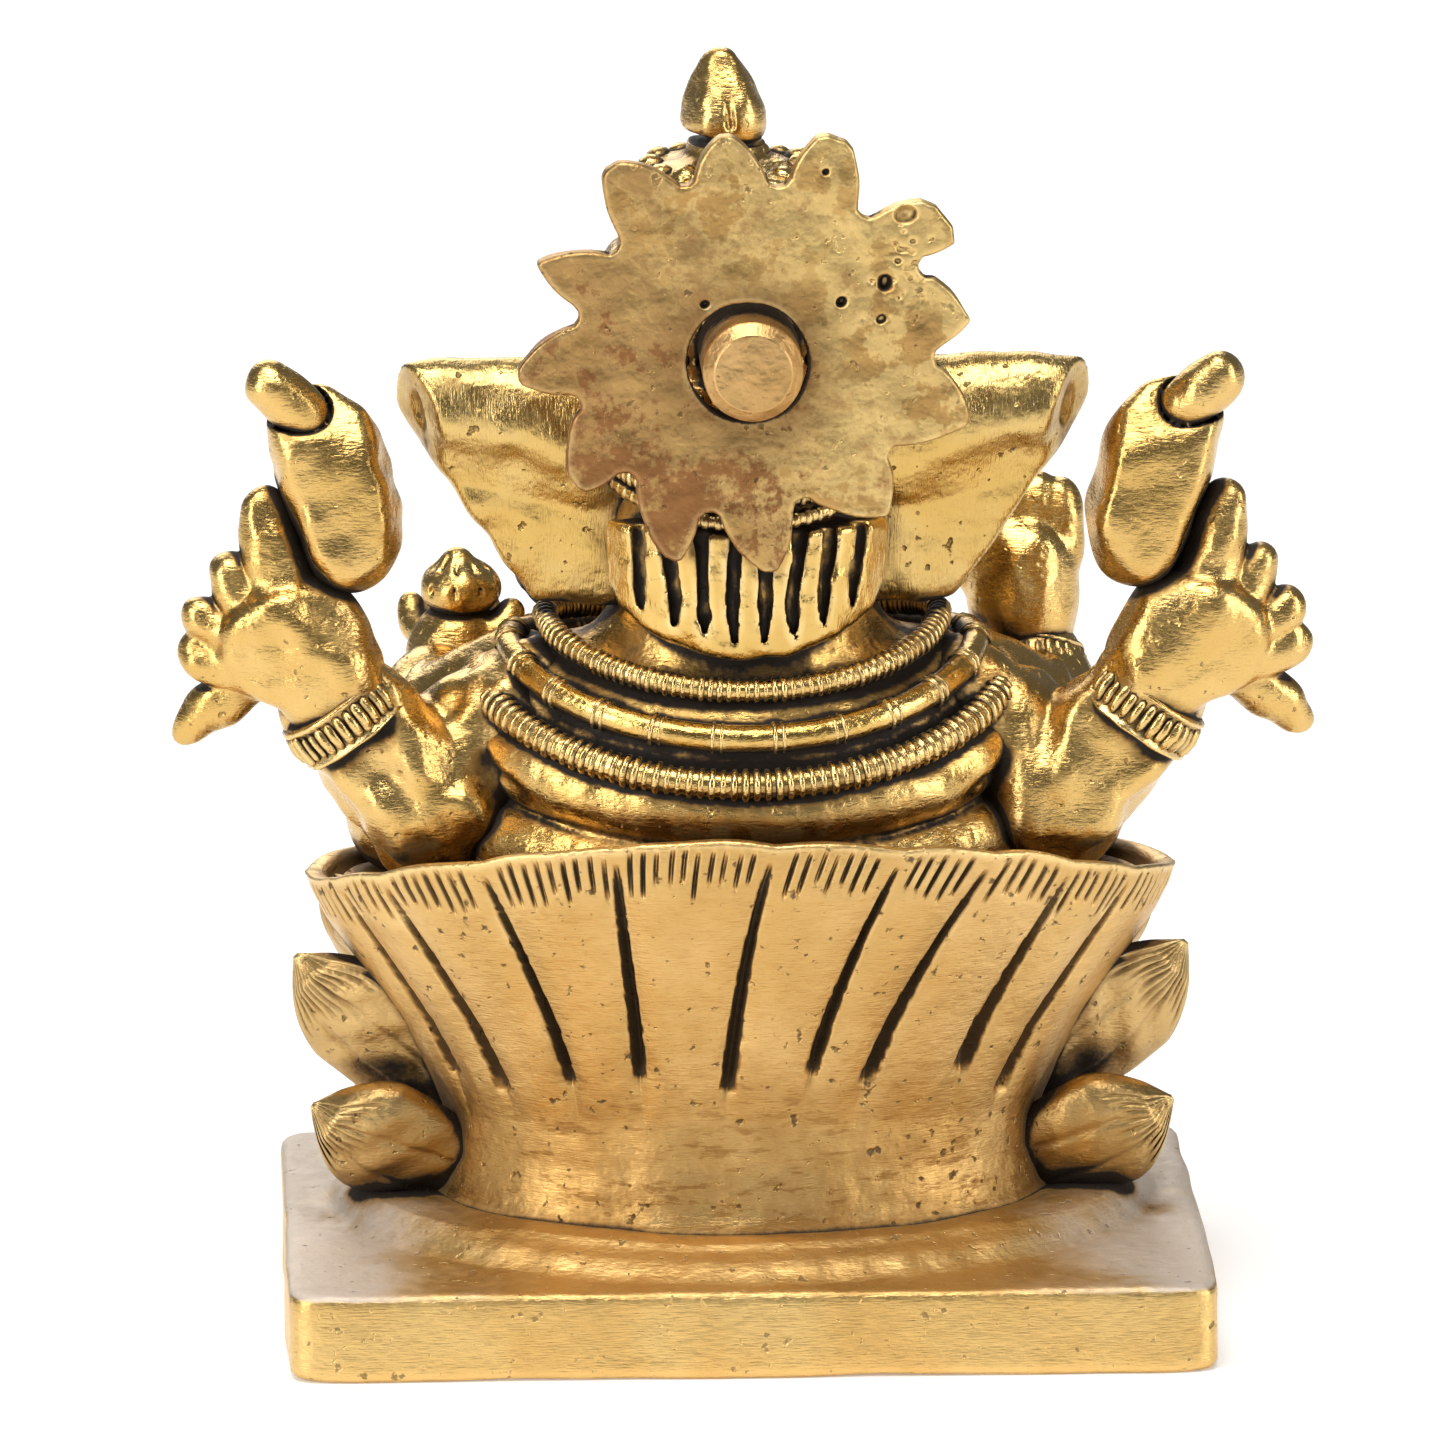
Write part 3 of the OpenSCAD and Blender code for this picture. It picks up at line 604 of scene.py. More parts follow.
def petal(half, length, thick, curl):
    """One leaf, root at the origin, along +X: half width, length, thickness, how far its tip curls up."""
    down, across = 60, 64
    v = np.linspace(0, 1, down)[:, None]
    u = np.linspace(-1, 1, across)[None, :]
    u = np.sign(u) * np.abs(u) ** 0.85
    taper = np.clip(1.02 - np.clip((v - 0.5) / 0.51, 0, 1) ** 2.3, 0.03, 1)
    width = half * taper * (0.74 + 0.30 * np.sin(math.pi * v * 0.85))
    line = length * v
    round_off = np.sqrt(np.clip(1 - u ** 2, 0, 1)) ** 0.8
    body = thick * (0.62 + 0.38 * np.sin(math.pi * np.clip(v * 0.9, 0, 1))) * np.clip((1 - v) * 9, 0.12, 1)
    veins = sum(np.exp(-((u - c * (1 - 0.35 * v)) * half / VEIN_HALF) ** 2) for c in (-0.45, 0.35))
    veins = veins * np.clip((v - 0.02) * 8, 0, 1) * np.clip((0.86 - v) * 6, 0, 1)
    beat = np.abs((u * half / PETAL_HATCH_PITCH + 0.5) % 1 - 0.5) * 2
    hatch = np.clip(1 - ((1 - beat) / 0.42) ** 2, 0, 1) * np.clip((v - 0.66 + 0.05 * np.cos(u * 7)) * 9, 0, 1)
    hatch = hatch * np.clip((0.985 - v) * 25, 0, 1) * np.clip((1 - np.abs(u)) * 8, 0, 1)
    dents = 0.16 * np.sin(line * 1.3 + 2 * u) * np.cos(u * 4.1 + line * 0.6)
    outer = (VEIN_DEPTH * veins + dents - body) * round_off + PETAL_HATCH_DEPTH * hatch
    inner = body * 0.45 * round_off
    level = 0 * outer
    shells = [np.stack([line + level, width * u, curl * v ** 2.2 + height], -1) for height in (outer, inner)]
    points = np.concatenate([shell.reshape(-1, 3) for shell in shells])
    n = down * across
    i = (np.arange(down - 1)[:, None] * across + np.arange(across - 1)).ravel()
    edge = np.arange(down - 1) * across
    far = edge + across - 1
    root = np.arange(across - 1)
    tip = root + (down - 1) * across
    faces = [(i, i + across, i + across + 1, i + 1), (n + i, n + i + 1, n + i + across + 1, n + i + across),
             (edge, n + edge, n + edge + across, edge + across),
             (far, far + across, n + far + across, n + far),
             (root, root + 1, n + root + 1, n + root), (tip, n + tip, n + tip + 1, tip + 1)]
    return points, np.concatenate([np.stack(corners, 1) for corners in faces])[:, ::-1]


def new_tree(name, inputs):
    """A new Geometry Nodes tree with named inputs: its bench, its input wires, and a call that closes it."""
    tree = bpy.data.node_groups.new(name, "GeometryNodeTree")
    tree.interface.new_socket("Geometry", in_out="INPUT", socket_type="NodeSocketGeometry")
    kinds = {float: "NodeSocketFloat", int: "NodeSocketInt", bpy.types.Material: "NodeSocketMaterial"}
    for label, kind in inputs.items():
        tree.interface.new_socket(label, in_out="INPUT", socket_type=kinds[kind])
    tree.interface.new_socket("Geometry", in_out="OUTPUT", socket_type="NodeSocketGeometry")
    entry = tree.nodes.new("NodeGroupInput")
    wires = {s.name: Wire(s) for s in entry.outputs if s.name}

    def close(shape):
        bench = Bench(tree)
        shape = bench.node("GeometryNodeRealizeInstances", None, {"Geometry": shape})
        shape = bench.node("GeometryNodeSetMaterial", None, {"Geometry": shape, "Material": wires["Metal"]})
        leave = tree.nodes.new("NodeGroupOutput")
        tree.links.new(shape.socket, leave.inputs[0])
    return Bench(tree), wires, close


def grown(name, tree, pattern, settings, metal):
    """Runs a tree on a pattern mesh and keeps the result as one plain mesh."""
    grower = pattern.modifiers.new("grow", "NODES")
    grower.node_group = tree
    for item in tree.interface.items_tree:
        if item.in_out == "INPUT" and item.name in settings:
            grower[item.identifier] = settings[item.name]
        if item.in_out == "INPUT" and item.name == "Metal":
            grower[item.identifier] = metal
    bpy.context.view_layer.update()
    ready = pattern.evaluated_get(bpy.context.evaluated_depsgraph_get())
    mesh = bpy.data.meshes.new_from_object(ready)
    mesh.name = name
    mesh.polygons.foreach_set("use_smooth", np.ones(len(mesh.polygons), bool))
    bpy.data.objects.remove(pattern)
    piece = bpy.data.objects.new(name, mesh)
    scene.collection.objects.link(piece)
    return piece


petal_row_tree, row, close_row = new_tree("petal_row", {
    "Count": int, "Step": float, "Half width": float, "Half depth": float, "Centre y": float, "Height": float,
    "Root": float, "Lean": float, "Roll": float, "Seed": int, "Metal": bpy.types.Material})
count = row["Count"]
petals = petal_row_tree.node("GeometryNodePoints", None, {"Count": count})
index = petal_row_tree.node("GeometryNodeInputIndex")
offset = (index - (count - 1) * 0.5) * row["Step"]
end_share = offset / ((count - 1) * 0.5 * row["Step"])
roll = end_share * (end_share * end_share) ** 1.5 * row["Roll"]
around = offset + 270
around = (around + (around * (2 * math.pi / 180)).sine() * 5.3) * (math.pi / 180)
cosine, sine = around.cosine(), around.sine()
spot = petal_row_tree.node("ShaderNodeCombineXYZ", None, {
    "X": cosine * row["Half width"] * row["Root"],
    "Y": sine * row["Half depth"] * row["Root"] + row["Centre y"],
    "Z": row["Height"]})
heading = around.sum_of("ARCTAN2", sine * row["Half width"], cosine * row["Half depth"])
jitter = petal_row_tree.node("FunctionNodeRandomValue", {"data_type": "FLOAT"},
                             {2: -1.0, 3: 1.0, "Seed": row["Seed"]}, 1)
facing = petal_row_tree.node("ShaderNodeCombineXYZ", None, {
    "X": jitter * 0.05 + roll * (math.pi / 180),
    "Y": (row["Lean"] + jitter * 2.5) * (-math.pi / 180),
    "Z": heading + jitter * 0.05})
placed = petal_row_tree.node("GeometryNodeSetPosition", None, {"Geometry": petals, "Position": spot})
size = petal_row_tree.node("ShaderNodeCombineXYZ", None, {
    "X": 1 + jitter * 0.04, "Y": 1 + jitter * 0.05, "Z": 1.0})
close_row(petal_row_tree.node("GeometryNodeInstanceOnPoints", None, {
    "Points": placed, "Instance": row["Geometry"], "Rotation": facing, "Scale": size}))

for node, number, step, share, root, lean, length, half, thick, curl, roll_by, seed in (
        ("lotus_petals_upper", 7, 27.0, 0.74, -3.2, 38, 10.3, 5.3, 1.6, 1.4, 40, 2),
        ("lotus_petals_middle", 8, 26.3, 0.66, -5.2, 42, 15.2, 4.9, 2.0, 0.6, 62, 5),
        ("lotus_petals_lower", 8, 27.9, 0.66, -1.7, 26, 11.8, 4.6, 2.5, 0.5, 66, 8)):
    middle = cad_box(node)[0]
    shape = petal(half, length, thick, curl)
    leaf = solid(node + "_leaf", *shape, petal_brass)
    petal_row = grown(node.replace("lotus_petals", "petals"), petal_row_tree.tree, leaf, {
        "Count": number, "Step": step, "Half width": lotus_half[0] * MM, "Half depth": lotus_half[1] * MM,
        "Centre y": (lotus_middle[1] + PETALS_BACK) * MM, "Height": (middle[2] + root) * MM, "Root": share,
        "Lean": lean, "Roll": roll_by, "Seed": seed}, petal_brass)
    add(petal_row, node, slot="satin_brass")

# ---------------------------------------------------------------------------
# Torso and belly. The seated body, built up in wax over a core: a broad back
# with a roll of flesh above the lotus rim, round shoulders and a full belly.
# ---------------------------------------------------------------------------
figure_gold = worn_brass("figure_gold", (0.63, 0.395, 0.12, 1), (0.70, 0.465, 0.17, 1),
                         (0.32, 0.175, 0.05, 1), 0.25, ((0.4, 0.3, 0), (1.5, 1.5, 6)))


def hoop(wide, deep, back, side, front, r, steps=48):
    """A closed path round the body that hangs by different heights behind, at the sides and in front."""
    path = []
    for a in np.linspace(0, 2 * math.pi, steps + 1):
        s = math.sin(a)
        path.append([wide * math.cos(a), deep * s * (1 if s > 0 else 1.12),
                     side + ((back if s > 0 else front) - side) * abs(s) ** 1.4, r])
    return path


torso = Wax("torso", 0.30, spare=1.5)
torso.lump((0, 0, -6.5), (19.0, 13.4, 8.5))
torso.lump((0, -0.5, 0), (18.6, 13.2, 7.5), 2.5)
torso.limb([[-12.6, 0, 2.2, 5.4], [12.6, 0, 2.2, 5.4]], 3)
torso.lump((0, 0.8, 2.6), (14.6, 10.9, 6.6), 2)
torso.lump((0, 0.2, 8.5), (9.6, 8.8, 5.2), 2)
torso.limb(hoop(17.0, 11.9, -2.3, 0.9, -2.5, 2.5), 0.7, smooth=False)
torso.limb(hoop(17.4, 11.7, -7.6, -5.5, -7, 3.0), 0.6, smooth=False)
torso.limb([[-19.5, 3, 1.2, 0.5], [-13, 11.5, -4.6, 0.5], [-5, 14.4, -5.6, 0.45], [5, 14.4, -5.3, 0.45],
            [13, 11.5, -4.0, 0.5], [19.5, 3, 1.2, 0.5]], 0.9, hollow=True)
torso = torso.cast("torso_wax", figure_gold, 0.13, 5, 21)
add(torso, "torso")

belly = Wax("belly", 0.30, spare=1.5)
belly.lump((0, 6.5, 0.2), (12.9, 11.0, 8.4))
belly.lump((0, 5.0, -5.5), (13.0, 10.0, 4.5), 2)
belly.limb([[-6.2, -1.2, 5.4, 2.4], [-4.6, -1.9, 4.6, 1.4]], 2.6)
belly.limb([[6.2, -1.2, 5.4, 2.4], [4.6, -1.9, 4.6, 1.4]], 2.6)
belly.lump((0, -4.6, -1.2), (0.9, 0.9, 1.1), 0.6, hollow=True)
belly.limb([[-12.4, 1.5, -4.4, 1.0], [-7, -3.2, -5.6, 1.1], [0, -5.2, -6.0, 1.2], [7, -3.2, -5.6, 1.1],
            [12.4, 1.5, -4.4, 1.0]], 0.5)
belly = belly.cast("belly_wax", figure_gold, 0.08, 4.5, 22)
add(belly, "belly")

# ---------------------------------------------------------------------------
# Legs and feet. Folded cross-legged on the flower, the hem of a lower garment
# marked at the shin, the soles turned up and the toes only notched in.
# ---------------------------------------------------------------------------
for side, hand in ((1, "left"), (-1, "right")):
    leg = Wax(hand + "_leg", 0.27, spare=1.5, side=side)
    leg.limb([[-6.5, 7.0, 1.2, 4.6], [-1.0, 6.2, 0.4, 4.8], [5.6, 4.9, 0, 4.4], [7.0, 2.4, -0.2, 4.1],
              [5.2, -0.8, -0.4, 3.8], [0.3, -3.3, -0.7, 3.4], [-5.0, -5.0, -1.0, 2.9],
              [-7.9, -5.9, -1.1, 2.7]], 1.4)
    for step in (-3.6, -4.6):
        leg.limb([[step, -4.4 + 0.15 * (step + 3.6), -3.9, 0.55], [step - 0.3, -8.0, -1.0, 0.55],
                  [step, -5.0, 2.3, 0.55], [step + 0.4, -2.0, 1.2, 0.55]], 0.35)
    for fold in range(4):
        leg.limb([[1.5 + fold * 1.9, 8.2 - fold * 0.8, 4.6, 0.35],
                  [0.9 + fold * 2.1, 3.2, 4.5 - fold * 0.2, 0.35],
                  [0.2 + fold * 2.0, -1.5, 3.5 - fold * 0.2, 0.35]], 0.5, hollow=True)
    leg = leg.cast(hand + "_leg_wax", figure_gold, 0.08, 4, 30 + side)
    add(leg, hand + "_leg")

    foot = Wax(hand + "_foot", 0.18, spare=1.2, side=side)
    foot.limb([[4.4, 0.9, 0.2, 2.5], [1.6, 0.5, 0, 2.35], [-1.4, -0.2, -0.2, 2.2]], 1)
    for toe in range(5):
        foot.limb([[-1.0, -0.4, 1.3 - toe * 0.75, 0.8],
                   [-2.9 - 0.35 * (2 - toe) * (toe < 3), -0.7, 1.7 - toe * 0.85, 0.72]], 0.25)
    foot = foot.cast(hand + "_foot_wax", figure_gold, 0.05, 3, 34 + side)
    add(foot, hand + "_foot")

# ---------------------------------------------------------------------------
# Necklaces and the sacred thread. Wax cords laid round the neck: two are ribbed
# all along with a file, and the middle one is plain with pairs of raised rings.
# ---------------------------------------------------------------------------
jewel_gold = worn_brass("jewel_gold", (0.62, 0.39, 0.11, 1), (0.70, 0.46, 0.15, 1), (0.26, 0.14, 0.04, 1),
                        0.20, ((0, 0, 0), (2, 2, 5)), pits=0.2)


def disc_bead(r, half, sides=12, rings=5):
    """A flat rounded bead, its hole along Z."""
    points, faces = [[0, 0, -half]], []
    for k in range(1, rings):
        t = -math.pi / 2 + math.pi * k / rings
        for i in range(sides):
            a = 2 * math.pi * i / sides
            points.append([r * math.cos(t) ** 0.6 * math.cos(a), r * math.cos(t) ** 0.6 * math.sin(a),
                           half * math.sin(t)])
    points.append([0, 0, half])
    last = len(points) - 1
    for i in range(sides):
        j = (i + 1) % sides
        faces.append([0, 1 + j, 1 + i, 1 + i])
        for k in range(rings - 2):
            a = 1 + k * sides
            faces.append([a + i, a + j, a + sides + j, a + sides + i])
        a = 1 + (rings - 2) * sides
        faces.append([a + i, a + j, last, last])
    return points, faces


def tidy_pattern(name, points, faces, metal):
    """A small mesh whose three-cornered faces were given as four corners with one repeated."""
    mesh = bpy.data.meshes.new(name)
    mesh.from_pydata([[c * MM for c in p] for p in points], [], [list(dict.fromkeys(f)) for f in faces])
    mesh.materials.append(metal)
    piece = bpy.data.objects.new(name, mesh)
    scene.collection.objects.link(piece)
    return piece


cord_bench, cord, close_cord = new_tree("cord_of_beads", {
    "Half width": float, "Half depth": float, "Behind": float, "Side": float, "Front": float, "Cord": float,
    "Pitch": float, "Group": int, "Gap": float, "Seed": int, "Metal": bpy.types.Material})
ring = cord_bench.node("GeometryNodeCurvePrimitiveCircle", {"mode": "RADIUS"},
                       {"Resolution": 160, "Radius": 1.0})
spot = cord_bench.node("ShaderNodeSeparateXYZ", None, {0: cord_bench.node("GeometryNodeInputPosition")})
cx, cy = spot, Wire(spot.socket.node.outputs[1])
behind = cord_bench.node("ShaderNodeMath", {"operation": "GREATER_THAN"}, {0: cy, 1: 0.0})
hang = cy.size() ** 1.4
drop = (cord["Front"] + behind * (cord["Behind"] - cord["Front"]) - cord["Side"]) * hang + cord["Side"]
path = cord_bench.node("GeometryNodeSetPosition", None, {"Geometry": ring, "Position": cord_bench.node(
    "ShaderNodeCombineXYZ", None, {"X": cx * cord["Half width"],
                                   "Y": cy * cord["Half depth"] * (1.12 - behind * 0.12), "Z": drop})})
core_profile = cord_bench.node("GeometryNodeCurvePrimitiveCircle", {"mode": "RADIUS"},
                               {"Resolution": 12, "Radius": cord["Cord"]})
core = cord_bench.node("GeometryNodeCurveToMesh", None, {"Curve": path, "Profile Curve": core_profile})
beads = cord_bench.node("GeometryNodeCurveToPoints", {"mode": "LENGTH"},
                        {"Curve": path, "Length": cord["Pitch"]})
bead_turn = Wire(beads.socket.node.outputs["Rotation"])
place_in_group = cord_bench.node("ShaderNodeMath", {"operation": "MODULO"},
                                 {0: cord_bench.node("GeometryNodeInputIndex"), 1: cord["Group"]})
unwanted = cord_bench.node("FunctionNodeCompare", {"data_type": "FLOAT", "operation": "GREATER_THAN"},
                           {0: place_in_group, 1: cord["Gap"]})
kept = cord_bench.node("GeometryNodeDeleteGeometry", {"domain": "POINT"},
                       {"Geometry": beads, "Selection": unwanted})
uneven = cord_bench.node("FunctionNodeRandomValue", {"data_type": "FLOAT"},
                         {2: 0.92, 3: 1.06, "Seed": cord["Seed"]}, 1)
threaded = cord_bench.node("GeometryNodeInstanceOnPoints", None, {
    "Points": kept, "Instance": cord["Geometry"], "Rotation": bead_turn, "Scale": uneven})
close_cord(cord_bench.node("GeometryNodeJoinGeometry", None, {"Geometry": [core, threaded]}))

for node, wide, deep, behind_z, side_z, front_z, r, bead, pitch, group, gap, core_r, seed in (
        ("necklace_upper", 13.7, 11.3, -1.4, 1.4, -1.0, 0.92, 0.30, 0.62, 1, 0.5, 0.72, 1),
        ("necklace_middle", 16.2, 13.0, -2.0, 2.0, -0.4, 1.17, 0.24, 0.60, 7, 1.5, 0.96, 2),
        ("necklace_lower", 18.3, 14.2, -2.35, 2.35, 1.85, 1.15, 0.36, 0.76, 1, 0.5, 0.90, 3)):
    middle = cad_box(node)[0]
    bead_mesh = tidy_pattern(node + "_bead", *disc_bead(r, bead), jewel_gold)
    necklace = grown(node + "_cord", cord_bench.tree, bead_mesh, {
        "Half width": wide * MM, "Half depth": deep * MM, "Behind": (middle[2] + behind_z) * MM,
        "Side": (middle[2] + side_z) * MM, "Front": (middle[2] + front_z) * MM, "Cord": core_r * MM,
        "Pitch": pitch * MM, "Group": group, "Gap": gap, "Seed": seed}, jewel_gold)
    add(necklace, node)

thread = Wax("sacred_thread", 0.18, spare=1.2)
thread.limb([[9.5, 4.0, 5.1, 0.7], [7.4, 0.2, 2.7, 0.7], [2.6, -3.6, 0.3, 0.7], [-3.6, -4.5, -2.2, 0.7],
             [-9.2, -1.9, -5.0, 0.7]], 0.4)
thread = thread.cast("thread_wax", jewel_gold, 0.05, 1.5, 41)
add(thread, "sacred_thread")

# ---------------------------------------------------------------------------
# Rear arms, bracelets and hands. Bent up from the elbow and filed in broad
# facets, each wrist in a ribbed band, the fingers left as short stubs.
# ---------------------------------------------------------------------------
ring_bench, stud, close_ring = new_tree("ring_of_ribs", {
    "Ring": float, "Count": int, "Seed": int, "Metal": bpy.types.Material})
circle = ring_bench.node("GeometryNodeCurvePrimitiveCircle", {"mode": "RADIUS"},
                         {"Resolution": 64, "Radius": stud["Ring"]})
spots = ring_bench.node("GeometryNodeCurveToPoints", {"mode": "COUNT"},
                        {"Curve": circle, "Count": stud["Count"]})
rib_turn = Wire(spots.socket.node.outputs["Rotation"])
rib_size = ring_bench.node("FunctionNodeRandomValue", {"data_type": "FLOAT"},
                           {2: 0.86, 3: 1.1, "Seed": stud["Seed"]}, 1)
close_ring(ring_bench.node("GeometryNodeInstanceOnPoints", None, {
    "Points": spots, "Instance": stud["Geometry"], "Rotation": rib_turn, "Scale": rib_size}))


def turned(profile, sides, steps=3):
    """Points and faces turned about Z from a profile of [radius, height] that meets the axis at both ends."""
    line = np.array(profile, float)
    if steps > 1:
        dense = curve_through(np.hstack([line, line * 0]), steps)[:, :2]
        line = np.hstack([np.maximum(dense[:, :1], 0.02), dense[:, 1:]])
    a = np.linspace(0, 2 * math.pi, sides, endpoint=False)
    ring_points = np.stack([line[1:-1, :1] * np.cos(a), line[1:-1, :1] * np.sin(a),
                            np.repeat(line[1:-1, 1:2], sides, 1)], -1).reshape(-1, 3)
    points = np.vstack([[0, 0, line[0, 1]], ring_points, [0, 0, line[-1, 1]]])
    faces, last = [], len(points) - 1
    for i in range(sides):
        j = (i + 1) % sides
        faces.append([0, 1 + j, 1 + i, 1 + i])
        for k in range(len(line) - 3):
            s = 1 + k * sides
            faces.append([s + i, s + j, s + sides + j, s + sides + i])
        s = 1 + (len(line) - 3) * sides
        faces.append([s + i, s + j, last, last])
    return points, faces


def turn_points(points, tilt_x=0, tilt_y=0):
    """Turns points about x and then y, by degrees."""
    a, b = math.radians(tilt_x), math.radians(tilt_y)
    x, y, z = np.asarray(points, float).T
    y, z = y * math.cos(a) - z * math.sin(a), y * math.sin(a) + z * math.cos(a)
    x, z = x * math.cos(b) + z * math.sin(b), -x * math.sin(b) + z * math.cos(b)
    return np.stack([x, y, z], 1)


def set_down(piece, shift, tilt_x=0, tilt_y=0, uneven=0.0, lumps=3, seed=1):
    """Turns a mesh's points, moves them by millimetres and makes them a little uneven."""
    mesh = piece.data
    points = np.empty(len(mesh.vertices) * 3, np.float32)
    mesh.vertices.foreach_get("co", points)
    points = turn_points(points.reshape(-1, 3) / MM, tilt_x, tilt_y) + np.array(shift)
    if uneven:
        normals = np.empty(len(points) * 3, np.float32)
        mesh.vertex_normals.foreach_get("vector", normals)
        normals = turn_points(normals.reshape(-1, 3), tilt_x, tilt_y)
        points = points + normals * (uneven * ripple(points.astype(np.float32), lumps, seed))[:, None]
    mesh.vertices.foreach_set("co", (points * MM).astype(np.float32).ravel())
    mesh.update()
    return piece


def joined(name, *pieces):
    """Several meshes kept as one piece."""
    points, faces, base = [], [], 0
    for piece in pieces:
        mesh = piece.data
        points += [v.co[:] for v in mesh.vertices]
        faces += [[base + i for i in p.vertices] for p in mesh.polygons]
        base += len(mesh.vertices)
    mesh = bpy.data.meshes.new(name)
    mesh.from_pydata(points, [], faces)
    mesh.materials.append(pieces[0].data.materials[0])
    mesh.polygons.foreach_set("use_smooth", np.ones(len(mesh.polygons), bool))
    for piece in pieces:
        bpy.data.objects.remove(piece)
    whole = bpy.data.objects.new(name, mesh)
    scene.collection.objects.link(whole)
    return whole


def bangle(node, name, ring_r, half, ribs, tilt_x, tilt_y, seed):
    """A band with a raised lip at each edge and a ring of ribs between them."""
    middle = cad_box(node)[0]
    band = [[0, -half], [ring_r * 0.6, -half], [ring_r, -half], [ring_r + 0.55, -half * 0.9],
            [ring_r + 0.35, -half * 0.68], [ring_r + 0.25, -half * 0.4], [ring_r + 0.25, half * 0.4],
            [ring_r + 0.35, half * 0.68], [ring_r + 0.55, half * 0.9], [ring_r, half],
            [ring_r * 0.6, half], [0, half]]
    band = tidy_pattern(name + "_band", *turned(band, 56, 2), jewel_gold)
    bead, faces = disc_bead(0.66, 0.41, 8, 4)
    rib = tidy_pattern(name + "_rib", [[x * 0.8, y * half * 1.25, z] for x, y, z in bead], faces, jewel_gold)
    ribs = grown(name + "_ribs", ring_bench.tree, rib,
                 {"Ring": (ring_r + 0.28) * MM, "Count": ribs, "Seed": seed}, jewel_gold)
    whole = joined(name, band, ribs)
    return set_down(whole, middle, tilt_x, tilt_y, 0.09, 2.2, seed)


for side, hand in ((1, "left"), (-1, "right")):
    arm = Wax(hand + "_rear_arm", 0.25, spare=1.5, side=side)
    arm.limb([[-8.4, -1.5, 3.4, 4.4], [-3.0, -1.5, -0.6, 4.4], [-0.7, -1.0, -3.6, 4.7], [1.6, 0.4, -1.2, 4.4],
              [4.1, 1.7, 2.1, 3.9], [5.9, 2.3, 5.0, 3.5]], 1.6)
    arm.lump((-1.8, 1.6, -3.4), (4.4, 4.0, 3.6), 1.6)
    arm.file_flat((1.2, 4.9, -0.6), (0.25, 1, 0.1), 1.2)
    arm.file_flat((5.6, 1.0, -2.6), (1, 0.35, -0.75), 1.0)
    arm = arm.cast(hand + "_rear_arm_wax", figure_gold, 0.24, 2.9, 50 + side)
    add(arm, hand + "_rear_arm")

    bracelet = bangle(hand + "_rear_bracelet", hand + "_rear_bangle", 3.75, 1.6, 33, 0, side * 36, 55 + side)
    add(bracelet, hand + "_rear_bracelet")

    palm = Wax(hand + "_rear_hand", 0.21, spare=1.5, side=side)
    palm.limb([[-4.6, -0.2, -5.0, 3.1], [-3.4, 0, -2.6, 3.4], [-1.7, 0, -0.7, 3.8], [0.2, 0, -1.4, 3.2]], 1.5)
    palm.limb([[-0.8, -0.4, 1.4, 2.2], [-0.1, -0.6, 4.8, 1.8], [0.4, -0.8, 8.4, 1.35]], 0.9)
    palm.limb([[1.0, -0.4, 0.4, 1.9], [2.4, -0.6, 2.5, 1.55], [3.0, -0.8, 4.0, 1.2]], 0.45)
    palm.limb([[2.0, -0.2, -1.2, 1.8], [4.3, -0.5, 0.1, 1.35], [4.8, -0.7, 0.9, 1.15]], 0.4)
    palm.limb([[2.0, 0, -2.8, 1.7], [4.7, -0.4, -2.3, 1.35], [5.4, -0.6, -1.7, 1.1]], 0.4)
    palm.limb([[1.4, -1.0, -4.2, 1.6], [4.4, -1.4, -6.1, 1.6], [6.2, -1.7, -7.9, 0.75]], 0.5)
    palm.file_flat((-0.8, 3.1, -1.6), (0.25, 1, -0.12), 0.7)
    palm.file_flat((-1.0, 2.6, 3.4), (-0.25, 1, 0.45), 0.8)
    palm = palm.cast(hand + "_rear_hand_wax", figure_gold, 0.12, 2.6, 60 + side)
    add(palm, hand + "_rear_hand")

# ---------------------------------------------------------------------------
# Emblems in the rear hands. Each is a plain oblong lump with a small rounded
# knob at its top, filed flat behind: a stand-in form for a noose and an axe.
# ---------------------------------------------------------------------------
KNOB_CREASE = 0.2
for side, node in ((1, "noose"), (-1, "axe")):
    emblem = Wax(node, 0.21, spare=1.5, side=side)
    emblem.limb([[-2.6, -0.3, -5.9, 2.1], [-2.2, -0.3, -3.4, 3.7], [-1.6, -0.3, -0.6, 4.3],
                 [-0.8, -0.3, 2.0, 3.5], [0.2, -0.3, 3.9, 2.5]], 1.0)
    emblem.file_flat((-0.6, 2.5, -1.0), (0.05, 1, 0.05), 0.8)
    emblem.file_flat((-0.2, 1.9, 3.0), (-0.1, 1, 0.75), 0.7)
    emblem.file_flat((-0.6, -3.1, -1.0), (0, -1, 0), 0.8)
    emblem.file_flat((1.9, 0, -1.4), (1, 0.3, -0.35), 0.9)
    emblem.file_flat((-5.2, 0, 0.4), (-1, 0.25, 0.25), 0.9)
    knob = [[0.6, 0.2, 4.9, 1.7], [1.6, 0.3, 5.7, 1.95], [2.9, 0.3, 6.7, 1.75]]
    emblem.limb([[x, y, z, r + KNOB_CREASE] for x, y, z, r in knob], 0.2, hollow=True)
    emblem.limb(knob, 0.1)
    emblem = emblem.cast(node + "_wax", figure_gold, 0.12, 3.0, 70 + side)
    add(emblem, node)

